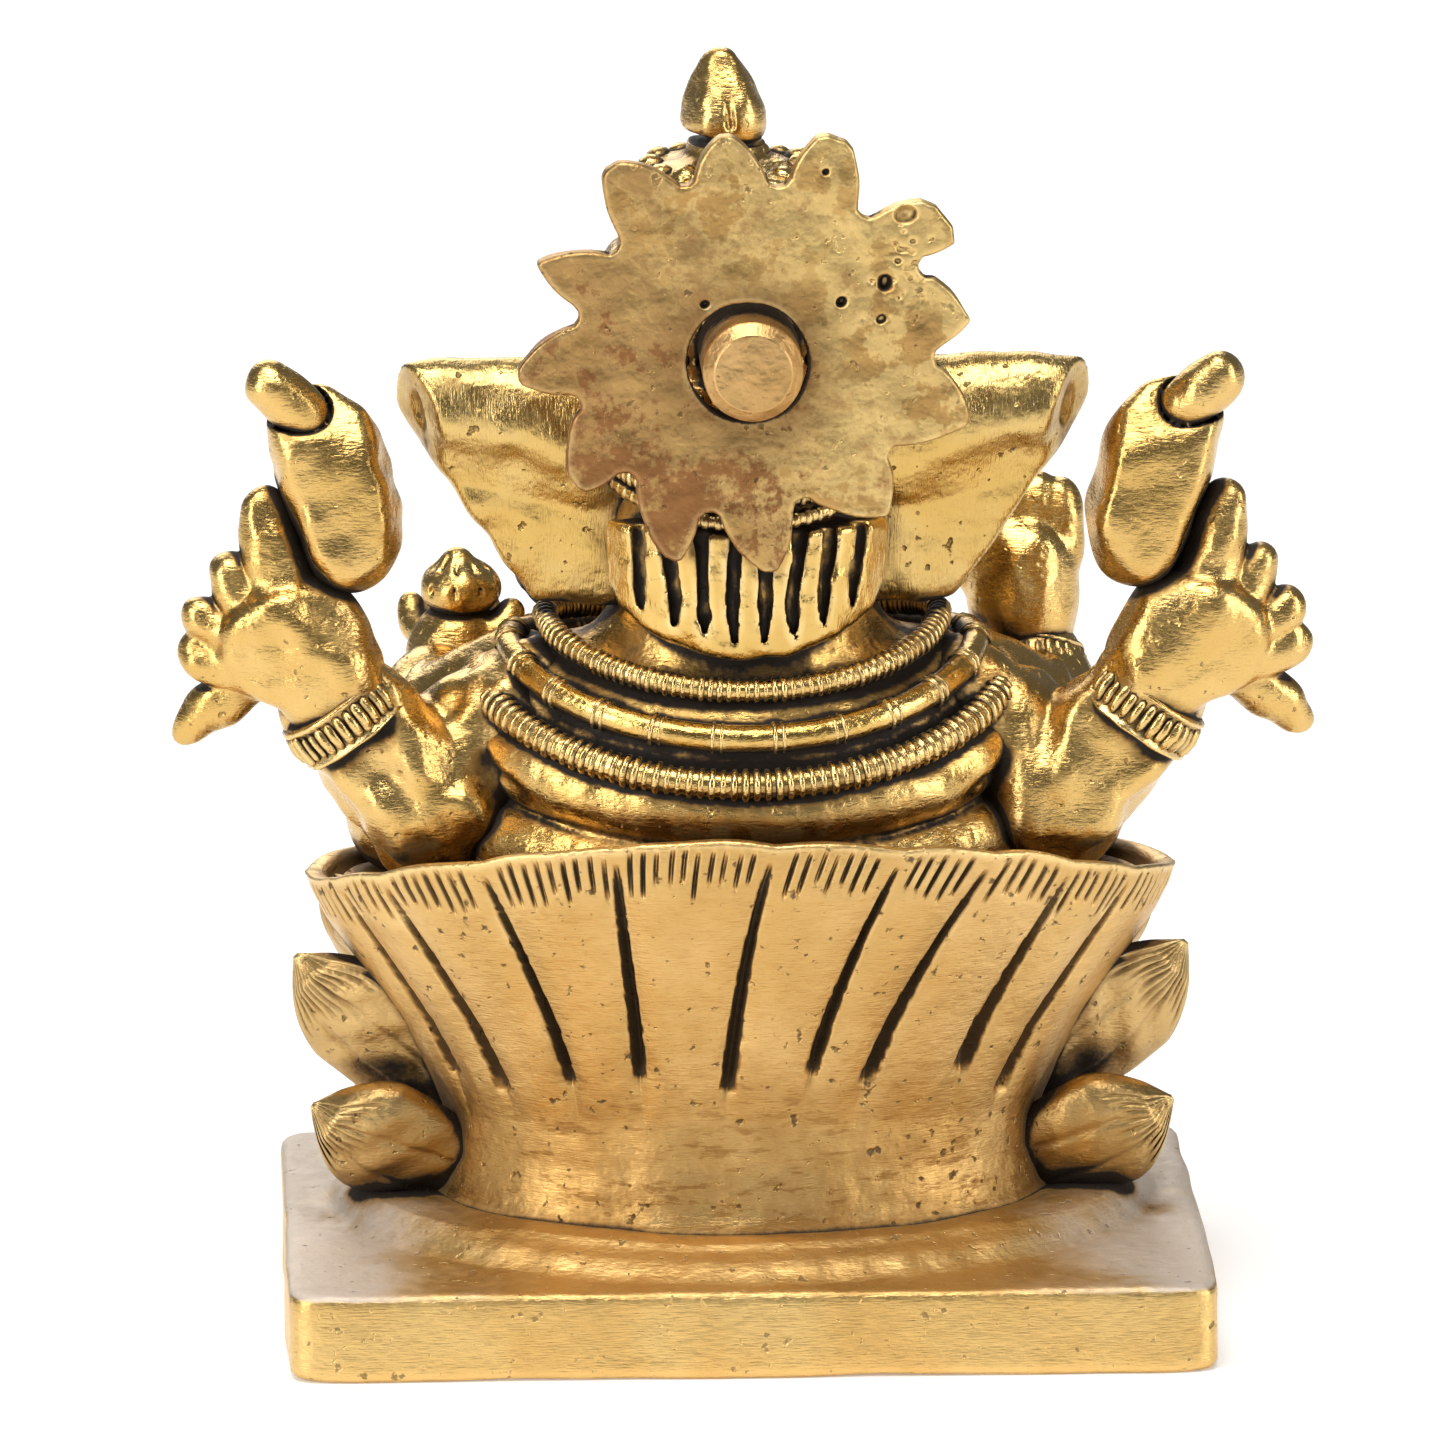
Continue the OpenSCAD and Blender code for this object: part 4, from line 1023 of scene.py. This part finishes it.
# ---------------------------------------------------------------------------
# Front arms and hands. The right hand is held up in blessing, the left holds a
# heaped sweet in its palm, and each wrist has a ribbed band like the rear ones.
# ---------------------------------------------------------------------------
front_paths = {"left": [[-4.4, 4.8, 1.8, 4.1], [0.6, 2.0, -1.7, 3.9], [2.4, 0.4, -3.3, 3.7],
                        [1.8, -2.5, -1.9, 3.2], [0.9, -4.5, -0.4, 2.8]],
               "right": [[-4.4, 4.6, 1.8, 4.1], [0.6, 1.8, -1.7, 3.9], [2.4, 0.2, -3.2, 3.7],
                         [1.9, -2.7, -1.0, 3.2], [1.3, -4.2, 1.6, 2.8]]}
for side, hand in ((1, "left"), (-1, "right")):
    arm = Wax(hand + "_front_arm", 0.25, spare=1.5, side=side)
    arm.limb(front_paths[hand], 1.4)
    arm.limb([[-0.9, 5.4, -2.8, 0.7], [2.6, 4.2, 0.6, 0.7], [2.2, 0.4, 1.9, 0.7],
              [-1.0, -1.4, 1.0, 0.7]], 0.4)
    arm = arm.cast(hand + "_front_arm_wax", figure_gold, 0.09, 3.4, 80 + side)
    add(arm, hand + "_front_arm")

left_band = bangle("left_front_bracelet", "left_front_bangle", 3.15, 1.25, 28, 52, 8, 84)
add(left_band, "left_front_bracelet")
right_band = bangle("right_front_bracelet", "right_front_bangle", 3.05, 1.25, 28, 32, 0, 86)
add(right_band, "right_front_bracelet")

giving = Wax("left_front_hand", 0.19, spare=1.4)
giving.limb([[1.1, 2.1, -1.1, 2.5], [0.4, 0.7, 0.1, 2.8], [-0.4, -0.3, 0.6, 2.4]], 1)
for finger in range(4):
    giving.limb([[-1.8 + finger * 1.55, -1.1, 0.8, 1.05], [-1.9 + finger * 1.75, -2.6, 1.3, 0.95],
                 [-1.9 + finger * 1.8, -3.2, 2.3, 0.85]], 0.35)
giving.limb([[-1.6, 1.7, 0.8, 1.25], [-3.0, 1.2, 1.7, 1.05], [-3.6, 0.6, 2.6, 0.9]], 0.4)
giving = giving.cast("left_front_hand_wax", figure_gold, 0.06, 2.4, 88)
add(giving, "left_front_hand")

blessing = Wax("right_front_hand", 0.20, spare=1.4, side=-1)
blessing.limb([[0.9, 0.3, -5.2, 3.0], [0.6, 0.2, -2.6, 3.5], [0.6, 0.1, 0.2, 3.5]], 1)
for finger in range(4):
    x = 3.2 - 1.75 * finger
    top = 5.4 - 0.55 * abs(finger - 1.6)
    blessing.limb([[x, 0.2, 0.4, 1.6], [x + 0.05, 0.1, 3.0, 1.4], [x + 0.1, -0.2, top, 1.15]], 0.7)
blessing.limb([[-1.2, -0.2, -2.5, 1.5], [-2.9, -0.7, -0.9, 1.25], [-3.3, -1.0, 0.9, 1.0]], 0.5)
blessing.lump((0.6, -3.1, -1.2), (1.0, 0.45, 1.0), 0.4)
blessing = blessing.cast("right_front_hand_wax", figure_gold, 0.07, 2.6, 90)
add(blessing, "right_front_hand")

sweet = Wax("sweet", 0.17, spare=1.2)
sweet.lump((0, 0, -0.8), (2.9, 2.9, 2.1), 0.5)
sweet.limb([[0, 0, 0.0, 1.8], [0.3, 0, 1.0, 1.1]], 0.8, smooth=False)
PLEATS = 9
for pleat in range(PLEATS):
    across, back = math.cos(2 * math.pi * pleat / PLEATS), math.sin(2 * math.pi * pleat / PLEATS)
    sweet.limb([[2.9 * across, 2.9 * back, -0.9, 0.12], [1.1 * across, 1.1 * back, 1.6, 0.05]], 0.4,
               smooth=False, hollow=True)
sweet = sweet.cast("sweet_wax", figure_gold, 0.05, 2, 92)
add(sweet, "sweet")

# ---------------------------------------------------------------------------
# Head, trunk, tusks and ears. A round skull with two domes over the brow, a
# trunk curled to the sweet, and ears like short cut-off horns over flat flaps.
# ---------------------------------------------------------------------------
head = Wax("head", 0.28, spare=1.5)
head.lump((0, 0.3, 0.4), (10.3, 10.2, 7.3))
head.lump((0, 5.4, -3.4), (9.0, 5.0, 4.4), 2)
for side in (1, -1):
    head.lump((side * 3.6, -5.6, 3.4), (4.9, 5.0, 4.2), 1.4)
    head.lump((side * 5.6, -5.2, -3.2), (4.4, 4.8, 4.0), 2.2)
    head.lump((side * 5.2, -9.9, 0.3), (2.2, 1.6, 1.4), 0.9, (0, side * 14, side * 24), hollow=True)
    head.lump((side * 5.1, -8.9, 0.3), (1.55, 1.2, 0.95), 0.15, (0, side * 14, side * 24))
    head.limb([[side * 3.0, -9.8, 0.3, 0.35], [side * 4.6, -9.9, 1.7, 0.45], [side * 6.6, -8.9, 1.6, 0.4],
               [side * 7.7, -7.8, 0.5, 0.3]], 0.35)
    head.limb([[side * 3.4, -9.9, -0.4, 0.3], [side * 5.2, -9.7, -1.1, 0.32],
               [side * 7.2, -8.4, -0.5, 0.28]], 0.3)
head.lump((0, -7.2, -5.2), (3.0, 3.2, 2.2), 1.6)
head.limb([[0, -9.6, 5.4, 0.45], [0, -10.4, 3.4, 0.6], [0, -10.6, 1.8, 0.3]], 0.4)
head = head.cast("head_wax", figure_gold, 0.08, 4, 101)
add(head, "head")

trunk = Wax("trunk", 0.22, spare=1.5)
run = curve_through([[-5.7, 6.4, 6.9, 4.2], [-5.7, 2.9, 3.9, 3.75], [-5.7, 0.3, 0.4, 3.35],
                     [-5.3, -1.3, -3.2, 3.0], [-3.3, -2.5, -6.2, 2.7], [0.3, -2.9, -7.4, 2.4],
                     [3.9, -2.6, -6.5, 2.15], [6.1, -2.3, -4.3, 1.9], [7.9, -1.9, -2.5, 1.75]], 9)
walked = np.concatenate([[0], np.cumsum(np.linalg.norm(np.diff(run[:, :3], axis=0), axis=1))])
CREASE_PITCH, CREASE_DEPTH = 1.75, 0.20
run[:, 3] -= CREASE_DEPTH * np.clip(1.6 * np.cos(2 * math.pi * walked / CREASE_PITCH) - 0.6, 0, 1)
trunk.limb(run, 0.25, smooth=False)
trunk.lump((8.6, -1.7, -1.8), (0.9, 0.8, 0.9), 0.5, hollow=True)
trunk = trunk.cast("trunk_wax", figure_gold, 0.05, 3, 103)
add(trunk, "trunk")

tusk_brass = worn_brass("tusk_brass", (0.90, 0.68, 0.34, 1), (0.94, 0.75, 0.42, 1), (0.55, 0.36, 0.16, 1),
                        0.26, ((0, 0, 0), (3, 1, 3)), pits=0.1)
for side, hand in ((1, "left"), (-1, "right")):
    tusk = Wax(hand + "_tusk", 0.14, spare=1.0, side=side)
    tusk.limb([[-1.25, 3, 0.5, 1.3], [0.35, 0, -0.7, 1.1], [1.3, -2.4, -0.5, 0.8],
               [1.6, -3.1, -0.2, 0.6]], 0.3)
    tusk.limb([[-0.75, 1.9, 0.1, 1.35], [-0.6, 1.6, 0, 1.35]], 0.3)
    tusk = tusk.cast(hand + "_tusk_wax", tusk_brass, 0.03, 2, 105 + side)
    add(tusk, hand + "_tusk", slot="dull_brass")

ear_gold = worn_brass("ear_gold", (0.60, 0.38, 0.11, 1), (0.64, 0.44, 0.16, 1), (0.34, 0.20, 0.07, 1),
                      0.25, ((0, 0.35, 0), (8, 2, 1)), pits=0.8)
for side, hand in ((1, "left"), (-1, "right")):
    ear = Wax(hand + "_ear", 0.22, spare=1.5, side=side)
    for root, edge in (([-7.2, 0, 1.4, 2.0], [5.2, 0.3, 2.4, 1.7]),
                       ([-7.2, 0, -1.8, 2.0], [3.2, 0, -1.2, 1.6]),
                       ([-7.2, 0, -5.0, 2.0], [1.0, -0.2, -4.6, 1.6]),
                       ([-7.0, 0, -6.5, 1.9], [-1.6, -0.3, -6.8, 1.5])):
        ear.limb([root, edge], 2.4, smooth=False)
    ear.file_flat((0, 1.35, -3.5), (0.12, 1, -0.22), 0.7)
    ear.limb([[-7.5, 0.6, 3.6, 4.6], [-2.0, 0.5, 4.2, 4.2], [2.5, 0.4, 4.9, 3.6], [7.2, 0.4, 5.3, 3.15]], 1.0,
             flat=(1, 0.72, 1))
    ear.file_flat((6.6, 0.6, 5.4), (1, 0.55, -0.22), 0.25)
    ear.file_flat((6.2, 0, 2.9), (0.83, 0.1, -0.56), 0.5)
    ear.lump((7.3, 1.1, 5.3), (1.5, 1.0, 2.0), 0.2, (0, 0, 20), hollow=True)
    ear.lump((0.2, 4.7, 0.4), (7.5, 2.4, 2.6), 1.2, (0, -20, -10), hollow=True)
    ear.lump((-0.4, -3.6, 0.6), (5.6, 1.9, 5.6), 1.4, hollow=True)
    ear = ear.cast(hand + "_ear_wax", ear_gold, 0.09, 3.2, 110 + side)
    add(ear, hand + "_ear")

# ---------------------------------------------------------------------------
# Hair. A pad of wax at the nape parted into locks by deep knife cuts, with two
# notched cross bands over it that rise to the brow under the crown.
# ---------------------------------------------------------------------------
hair_gold = worn_brass("hair_gold", (0.64, 0.41, 0.12, 1), (0.72, 0.48, 0.16, 1), (0.26, 0.14, 0.04, 1),
                       0.20, ((0, 0, 0), (4, 4, 1)), pits=0.2)
hair = Wax("hair", 0.18, spare=2.0)
PAD_MIDDLE, PAD_RADII = (0, -3.2, 1.0), (10.0, 7.1, 17.0)
HEM_MIDDLE, HEM_WIDE, HEM_HIGH = 6.0, 14.0, 12.6
hair.lump(PAD_MIDDLE, PAD_RADII)
hair.file_flat((0, 0, 2.6), (0, 0, 1), 0.5)
hair.file_flat((0, -1.6, 0), (0, -1, 0), 0.3)
hair.press(hair.middle - hair.half - 2, hair.middle + hair.half + 2,
           lambda x, y, z: HEM_HIGH * (1 - np.sqrt(((x - hair.middle[0]) / HEM_WIDE) ** 2 + (
               (z - hair.middle[2] - HEM_MIDDLE) / HEM_HIGH) ** 2)) + 0 * y, 1.0, hollow=True)
CUTS, CUT_PITCH = 8, 2.1
draw = np.random.default_rng(29)
for cut in range(CUTS):
    lean = draw.uniform(-0.22, 0.22)
    path = []
    for up in np.linspace(3.4, -5.9 + 0.22 * (cut - (CUTS - 1) / 2) ** 2, 8):
        x = (cut - (CUTS - 1) / 2) * (CUT_PITCH + 0.02 * up) + lean * math.sin(up * 0.7)
        bulge = max(1 - (x / PAD_RADII[0]) ** 2 - ((up - PAD_MIDDLE[2]) / PAD_RADII[2]) ** 2, 0)
        path.append([x, PAD_MIDDLE[1] + PAD_RADII[1] * math.sqrt(bulge) - 0.5, up, draw.uniform(0.34, 0.47)])
    path[-1][3], path[-2][3] = 0.12, 0.28
    hair.limb(path, 0.35, hollow=True)
hair = hair.cast("hair_pad", hair_gold, 0.07, 1.6, 127)
bands = []
for wide, deep, behind_z, side_z, front_z, r, bead, pitch in ((9.9, 11.4, 59.9, 61.6, 65.6, 0.85, 0.30, 0.66),
                                                              (9.8, 11.9, 58.3, 60.4, 64.6, 0.60, 0.40, 0.9)):
    band_bead = tidy_pattern("hair_band_bead", *disc_bead(r, bead), hair_gold)
    bands.append(grown("hair_band", cord_bench.tree, band_bead, {
        "Half width": wide * MM, "Half depth": deep * MM, "Behind": behind_z * MM, "Side": side_z * MM,
        "Front": front_z * MM, "Cord": r * 0.8 * MM, "Pitch": pitch * MM, "Group": 1, "Gap": 0.5, "Seed": 6},
        hair_gold))
add(joined("hair_wax", hair, *bands), "hair")

# ---------------------------------------------------------------------------
# Crown and finial. A tiered crown turned in wax with bead rings and ribbed bands
# pressed on, and a lumpy pear-shaped finial stuck on its top by hand.
# ---------------------------------------------------------------------------
crown_middle = cad_box("crown")[0]
profile = [[0, -8.55], [9.6, -8.5], [10.5, -8.2], [10.75, -7.4], [10.5, -6.6], [9.8, -6.1], [9.65, -4.9],
           [9.7, -3.7], [10.1, -3.1], [10.2, -2.5], [9.7, -1.9], [9.3, -1.2], [9.4, 0.2], [9.0, 1.2],
           [8.3, 1.7], [8.5, 2.4], [8.0, 3.1], [7.0, 3.7], [6.3, 4.4], [6.5, 5.1], [5.6, 5.7], [6.0, 6.2],
           [6.1, 6.7], [4.6, 7.2], [3.0, 7.7], [2.7, 8.3], [2.4, 8.55], [0, 8.6]]
TOP_SHIFT = 1.1


def top_shift(height):
    """How far the crown leans to the side at a height, growing over its top tiers."""
    return TOP_SHIFT * np.clip((height - 3) / 3, 0, 1)


crown_points, crown_faces = turned(profile, 144, 3)
bearing = np.arctan2(crown_points[:, 1], crown_points[:, 0])
reach = np.hypot(crown_points[:, 0], crown_points[:, 1])
height = crown_points[:, 2]
leaves = np.clip(1 - np.abs(height + 0.3) / 1.7, 0, 1) * (0.35 * np.abs(np.sin(bearing * 9)) - 0.15)
plates = np.clip(1 - np.abs(height - 6.4) / 0.8, 0, 1) * 0.55 * np.cos(bearing * 5 + 0.6)
crown_points[:, :2] *= ((reach + leaves + plates) / np.maximum(reach, 0.1))[:, None]
crown_points[:, 0] += top_shift(height)
crown_parts = [tidy_pattern("crown_core", crown_points, crown_faces, jewel_gold)]
for ring_r, height, number, bead_r, bead_half, seed in (
        (10.35, -7.4, 60, 0.56, 0.44, 3), (9.6, -5.0, 84, 0.42, 0.24, 4), (9.85, -2.6, 56, 0.50, 0.42, 5),
        (8.25, 2.4, 46, 0.48, 0.40, 6), (6.2, 5.0, 36, 0.42, 0.38, 7), (5.1, 6.6, 13, 1.15, 1.0, 9)):
    bead = tidy_pattern("crown_bead", *disc_bead(bead_r, bead_half, 10, 6), jewel_gold)
    row_of_beads = grown("crown_row", ring_bench.tree, bead,
                         {"Ring": ring_r * MM, "Count": number, "Seed": seed}, jewel_gold)
    crown_parts.append(set_down(row_of_beads, (top_shift(height), 0, height)))
front_jewel = Wax("crown", 0.24, spare=1.5)
front_jewel.limb([[0, -9.4, -6.9, 2.2], [0, -9.3, -3.6, 2.5], [0, -8.7, -0.4, 1.9], [0, -7.6, 2.6, 1.0]], 0.8)
front_jewel.lump((0, -11.2, -4.2), (1.1, 0.8, 1.3), 0.25)
for side in (1, -1):
    front_jewel.limb([[side * 2.6, -9.6, -5.9, 0.9], [side * 4.0, -9.2, -3.4, 0.8],
                      [side * 2.9, -9.4, -1.5, 0.6], [side * 2.0, -9.9, -2.7, 0.5]], 0.35)
front_jewel = front_jewel.cast("crown_jewel", jewel_gold, 0.05, 2.5, 121)
crown = joined("crown_wax", *crown_parts)
crown = set_down(crown, crown_middle, uneven=0.12, lumps=3.2, seed=123)
crown = joined("crown_tiers", crown, front_jewel)
add(crown, "crown")

finial = Wax("crown_finial", 0.17, spare=1.3)
finial.limb([[1.3, 0, -1.6, 3.1], [1.35, 0, -0.8, 2.85], [1.45, 0, 0.9, 1.9], [1.55, 0, 1.7, 1.3]], 0.3)
finial.file_flat((1.0, 2.45, 0.2), (0.2, 1, 0.55), 0.9)
finial.file_flat((3.9, 0, -0.4), (1, 0.4, 0.3), 0.8)
finial.file_flat((-1.2, 0, 0.2), (-1, 0.1, 0.5), 0.9)
finial.file_flat((1.0, 0, -2.95), (0.16, 0, -1), 0.45)
finial.limb([[0.9, 2.9, -1.8, 0.22], [1.2, 2.4, 1.2, 0.2]], 0.5, hollow=True)
finial.lump((1.4, 0.1, 2.6), (0.75, 0.6, 0.35), 0.4)
finial.limb([[0.8, 0, -3.3, 1.7], [0.5, 0, -4.4, 2.4]], 0.3)
finial = finial.cast("finial_wax", figure_gold, 0.06, 1.9, 125)
add(finial, "crown_finial")

# ---------------------------------------------------------------------------
# Peg. A round stub cast behind the head, its end filed flat with a bright
# bevel, for the loose sun disc to hang on.
# ---------------------------------------------------------------------------
peg_rose = worn_brass("peg_rose", (0.54, 0.32, 0.115, 1), (0.60, 0.37, 0.15, 1), (0.36, 0.20, 0.08, 1),
                      0.40, ((0, 0, 0), (1, 1, 1)), pits=0.25)
peg_middle, peg_half = cad_box("halo_peg")
PEG_R, ROOT_R, PEG_BEVEL = 3.45, 4.2, 0.75
peg_end, peg_root = peg_half[1], -peg_half[1]
peg_profile = [[0, peg_root], [ROOT_R, peg_root], [ROOT_R, peg_root + 6], [PEG_R, peg_root + 8], [PEG_R, 0],
               [PEG_R, peg_end - PEG_BEVEL - 0.1], [PEG_R - 0.06, peg_end - PEG_BEVEL],
               [PEG_R - PEG_BEVEL, peg_end - 0.06], [PEG_R - PEG_BEVEL - 0.12, peg_end], [1.5, peg_end],
               [0, peg_end]]
peg = tidy_pattern("peg", *turned(peg_profile, 72, 1), peg_rose)
peg.data.polygons.foreach_set("use_smooth", np.zeros(len(peg.data.polygons), bool))
peg = set_down(peg, peg_middle, tilt_x=-90, uneven=0.05, lumps=3, seed=131)
add(peg, "halo_peg", slot="dull_brass")

# ---------------------------------------------------------------------------
# Sun disc. A flat plate with twelve leaf-like rays sawn out by hand, no two
# alike, tarnished brown and copper, and loose on the peg through its hole.
# ---------------------------------------------------------------------------
disc_tan = worn_brass("disc_tan", (0.46, 0.27, 0.09, 1), (0.62, 0.42, 0.15, 1), (0.27, 0.14, 0.05, 1),
                      0.44, ((0, 0, 0), (1, 1, 1)), pits=0.8, copper=tuple(peg_middle * MM))
disc = Wax("halo_disc", 0.15, spare=3.5)
# rays in turn round the plate: tip across and up from the peg, how blunt it is, then the notch after it
RAYS = [((1.8, 15.9), 0.75, (-1.7, 12.4)), ((-5.8, 15.7), 1.35, (-7.5, 10.3)),
        ((-13.1, 10.2), 1.9, (-11.4, 6.4)), ((-14.9, 3.1), 0.25, (-12.4, 0.4)),
        ((-14.8, -3.9), 0.6, (-9.4, -6.0)), ((-9.3, -10.6), 0.35, (-3.4, -9.3)),
        ((-1.2, -14.5), 0.6, (2.6, -10.2)), ((5.6, -13.5), 0.75, (8.0, -7.6)),
        ((12.3, -7.9), 1.3, (11.6, -2.5)), ((15.9, -0.5), 0.8, (11.8, 3.3)),
        ((14.5, 7.2), 0.2, (9.2, 8.1)), ((9.5, 13.9), 0.9, (4.3, 12.5))]
HOLE_R, HOLE_OFF, EDGE_SOFT = 4.1, (0.30, 0.28), 0.32
# flaws in the casting: across and up from the peg, half width, depth
CASTING_HOLES = [(-9.05, 5.7, 0.62, 0.9), (-10.4, 10.4, 0.75, 0.8), (-6.1, 4.4, 0.42, 0.6),
                 (-8.8, 3.2, 0.45, 0.4), (3.2, 4.3, 0.35, 0.5), (-5.0, 13.4, 0.3, 0.4)]
SMALL_PITS = 34


def bent_edge(a, b, bulge, steps=9):
    """Points along an edge from a to b that bows out to its right by a share of its length."""
    span = b - a
    bow = (a + b) / 2 + np.array([span[1], -span[0]]) * bulge
    t = np.linspace(0, 1, steps)[:, None]
    return (1 - t) ** 2 * a + 2 * t * (1 - t) * bow + t ** 2 * b


def ray_outline():
    outline = []
    for i, (tip, blunt, notch) in enumerate(RAYS):
        before = np.array(RAYS[i - 1][2])
        tip, notch = np.array(tip), np.array(notch)
        out = tip / np.linalg.norm(tip)
        across_ray = np.array([-out[1], out[0]])
        foot = []
        for point, way in ((before, 1), (notch, -1)):
            o = point / np.linalg.norm(point)
            t = np.array([-o[1], o[0]]) * way
            foot.append([point + t * 0.5 + o * 0.14, point + t * 0.85 + o * 0.7])
        near, far = tip - across_ray * blunt - out * blunt * 0.3, tip + across_ray * blunt - out * blunt * 0.3
        outline += [before, foot[0][0]]
        outline += list(bent_edge(foot[0][1], near, 0.13))
        outline += [tip - across_ray * blunt * 0.5, tip + across_ray * blunt * 0.5]
        outline += list(bent_edge(far, foot[1][1], 0.13))
        outline += [foot[1][0]]
    return np.array(outline)


def plate_form(x, y, z):
    """Distance to the sawn plate: how far from its outline, and how far from its faces."""
    outline = ray_outline()
    px, pz = x - disc.middle[0] + 0 * z, z - peg_middle[2] + 0 * x
    near = np.full(px.shape, 1e9, np.float32)
    inside = np.zeros(px.shape, bool)
    for a, b in zip(outline, np.roll(outline, -1, 0)):
        span = b - a
        t = np.clip(((px - a[0]) * span[0] + (pz - a[1]) * span[1]) / (span @ span), 0, 1)
        near = np.minimum(near, (px - a[0] - t * span[0]) ** 2 + (pz - a[1] - t * span[1]) ** 2)
        crosses = (a[1] > pz) != (b[1] > pz)
        if span[1]:
            inside ^= crosses & (px < a[0] + (pz - a[1]) * span[0] / span[1])
    flat = np.where(inside, -1, 1) * np.sqrt(near)
    edge, face = flat + EDGE_SOFT, np.abs(y - disc.middle[1]) - disc.half[1] + EDGE_SOFT
    return (np.sqrt(np.maximum(edge, 0) ** 2 + np.maximum(face, 0) ** 2)
            + np.minimum(np.maximum(edge, face), 0) - EDGE_SOFT)


def hole_form(x, y, z):
    return np.sqrt((x - HOLE_OFF[0]) ** 2 + (z - peg_middle[2] - HOLE_OFF[1]) ** 2) + 0 * y - HOLE_R


disc.press(disc.middle - disc.half - 3, disc.middle + disc.half + 3, plate_form, 0)
disc.press(disc.middle - disc.half - 3, disc.middle + disc.half + 3, hole_form, 0.2, hollow=True)
draw = np.random.default_rng(17)
peg_up = peg_middle[2] - disc.middle[2]
for across, up, wide, deep in CASTING_HOLES:
    disc.lump((across, disc.half[1], up + peg_up), (wide, deep, wide * 0.8), 0.2,
              (0, draw.uniform(0, 90), 0), hollow=True)
for _ in range(SMALL_PITS):
    wide = draw.uniform(0.12, 0.32)
    disc.lump((draw.normal(-10.4, 1.4), disc.half[1], draw.normal(7.6, 2.0) + peg_up),
              (wide, wide, wide * 0.8), 0.15, hollow=True)
disc = disc.cast("sun_disc", disc_tan, 0.06, 2.6, 19)
add(disc, "halo_disc", slot="dull_brass", body="disc")

# ---------------------------------------------------------------------------
# Tarnish and painted shade. Once all is together, every surface is marked by how deep it lies in
# a recess and how far it stands out: what lies deep is darkened, partly by dirt settled in and partly
# as painted shade, and polish lifts what stands out.
# ---------------------------------------------------------------------------
def surface_of(piece):
    mesh = piece.data
    points = np.empty(len(mesh.vertices) * 3, np.float32)
    normals = np.empty_like(points)
    mesh.vertices.foreach_get("co", points)
    mesh.vertex_normals.foreach_get("vector", normals)
    mesh.calc_loop_triangles()
    corners = np.empty(len(mesh.loop_triangles) * 3, np.int32)
    mesh.loop_triangles.foreach_get("vertices", corners)
    return points.reshape(-1, 3) / MM, normals.reshape(-1, 3), corners.reshape(-1, 3)


VOXEL, AIR = 0.3, 4.5
surfaces = [surface_of(piece) for piece in finished]
starts = np.cumsum([0] + [len(s[0]) for s in surfaces])
all_points = np.concatenate([s[0] for s in surfaces])
all_corners = np.concatenate([s[2] + start for s, start in zip(surfaces, starts)]).astype(np.uint32)
sheet = openvdb.FloatGrid.createLevelSetFromPolygons(
    all_points, all_corners, transform=openvdb.createLinearTransform(voxelSize=VOXEL), halfWidth=AIR / VOXEL)
first_cell = np.floor(all_points.min(0) / VOXEL).astype(int) - int(AIR / VOXEL) - 1
cells = np.ceil(all_points.max(0) / VOXEL).astype(int) + int(AIR / VOXEL) + 2 - first_cell
air = np.full(cells, AIR, np.float32)
sheet.copyToArray(air, tuple(int(c) for c in first_cell))


def clearance(points):
    """How far each point is from the nearest metal, below zero inside it."""
    p = points / VOXEL - first_cell
    cell = np.clip(np.floor(p).astype(int), 0, cells - 2)
    t = np.clip(p - cell, 0, 1)
    total = np.zeros(len(points), np.float32)
    for corner in range(8):
        step = np.array([corner & 1, corner >> 1 & 1, corner >> 2])
        weight = np.prod(np.where(step, t, 1 - t), 1)
        c = cell + step
        total += weight.astype(np.float32) * air[c[:, 0], c[:, 1], c[:, 2]]
    return total


for piece, (points, normals, _) in zip(finished, surfaces):
    recess = np.zeros(len(points), np.float32)
    for height, share in ((0.45, 0.28), (0.9, 0.3), (1.8, 0.25), (3.6, 0.17)):
        recess += share * np.clip(1 - clearance(points + normals * height) / height, 0, 1.4)
    rise = np.zeros(len(points), np.float32)
    for depth, share in ((0.4, 0.5), (0.8, 0.5)):
        rise += share * np.clip(1 + clearance(points - normals * depth) / depth, 0, 1)
    for name, values in (("recess", recess), ("rise", rise)):
        mark = piece.data.attributes.new(name, "FLOAT", "POINT")
        mark.data.foreach_set("value", values.astype(np.float32))
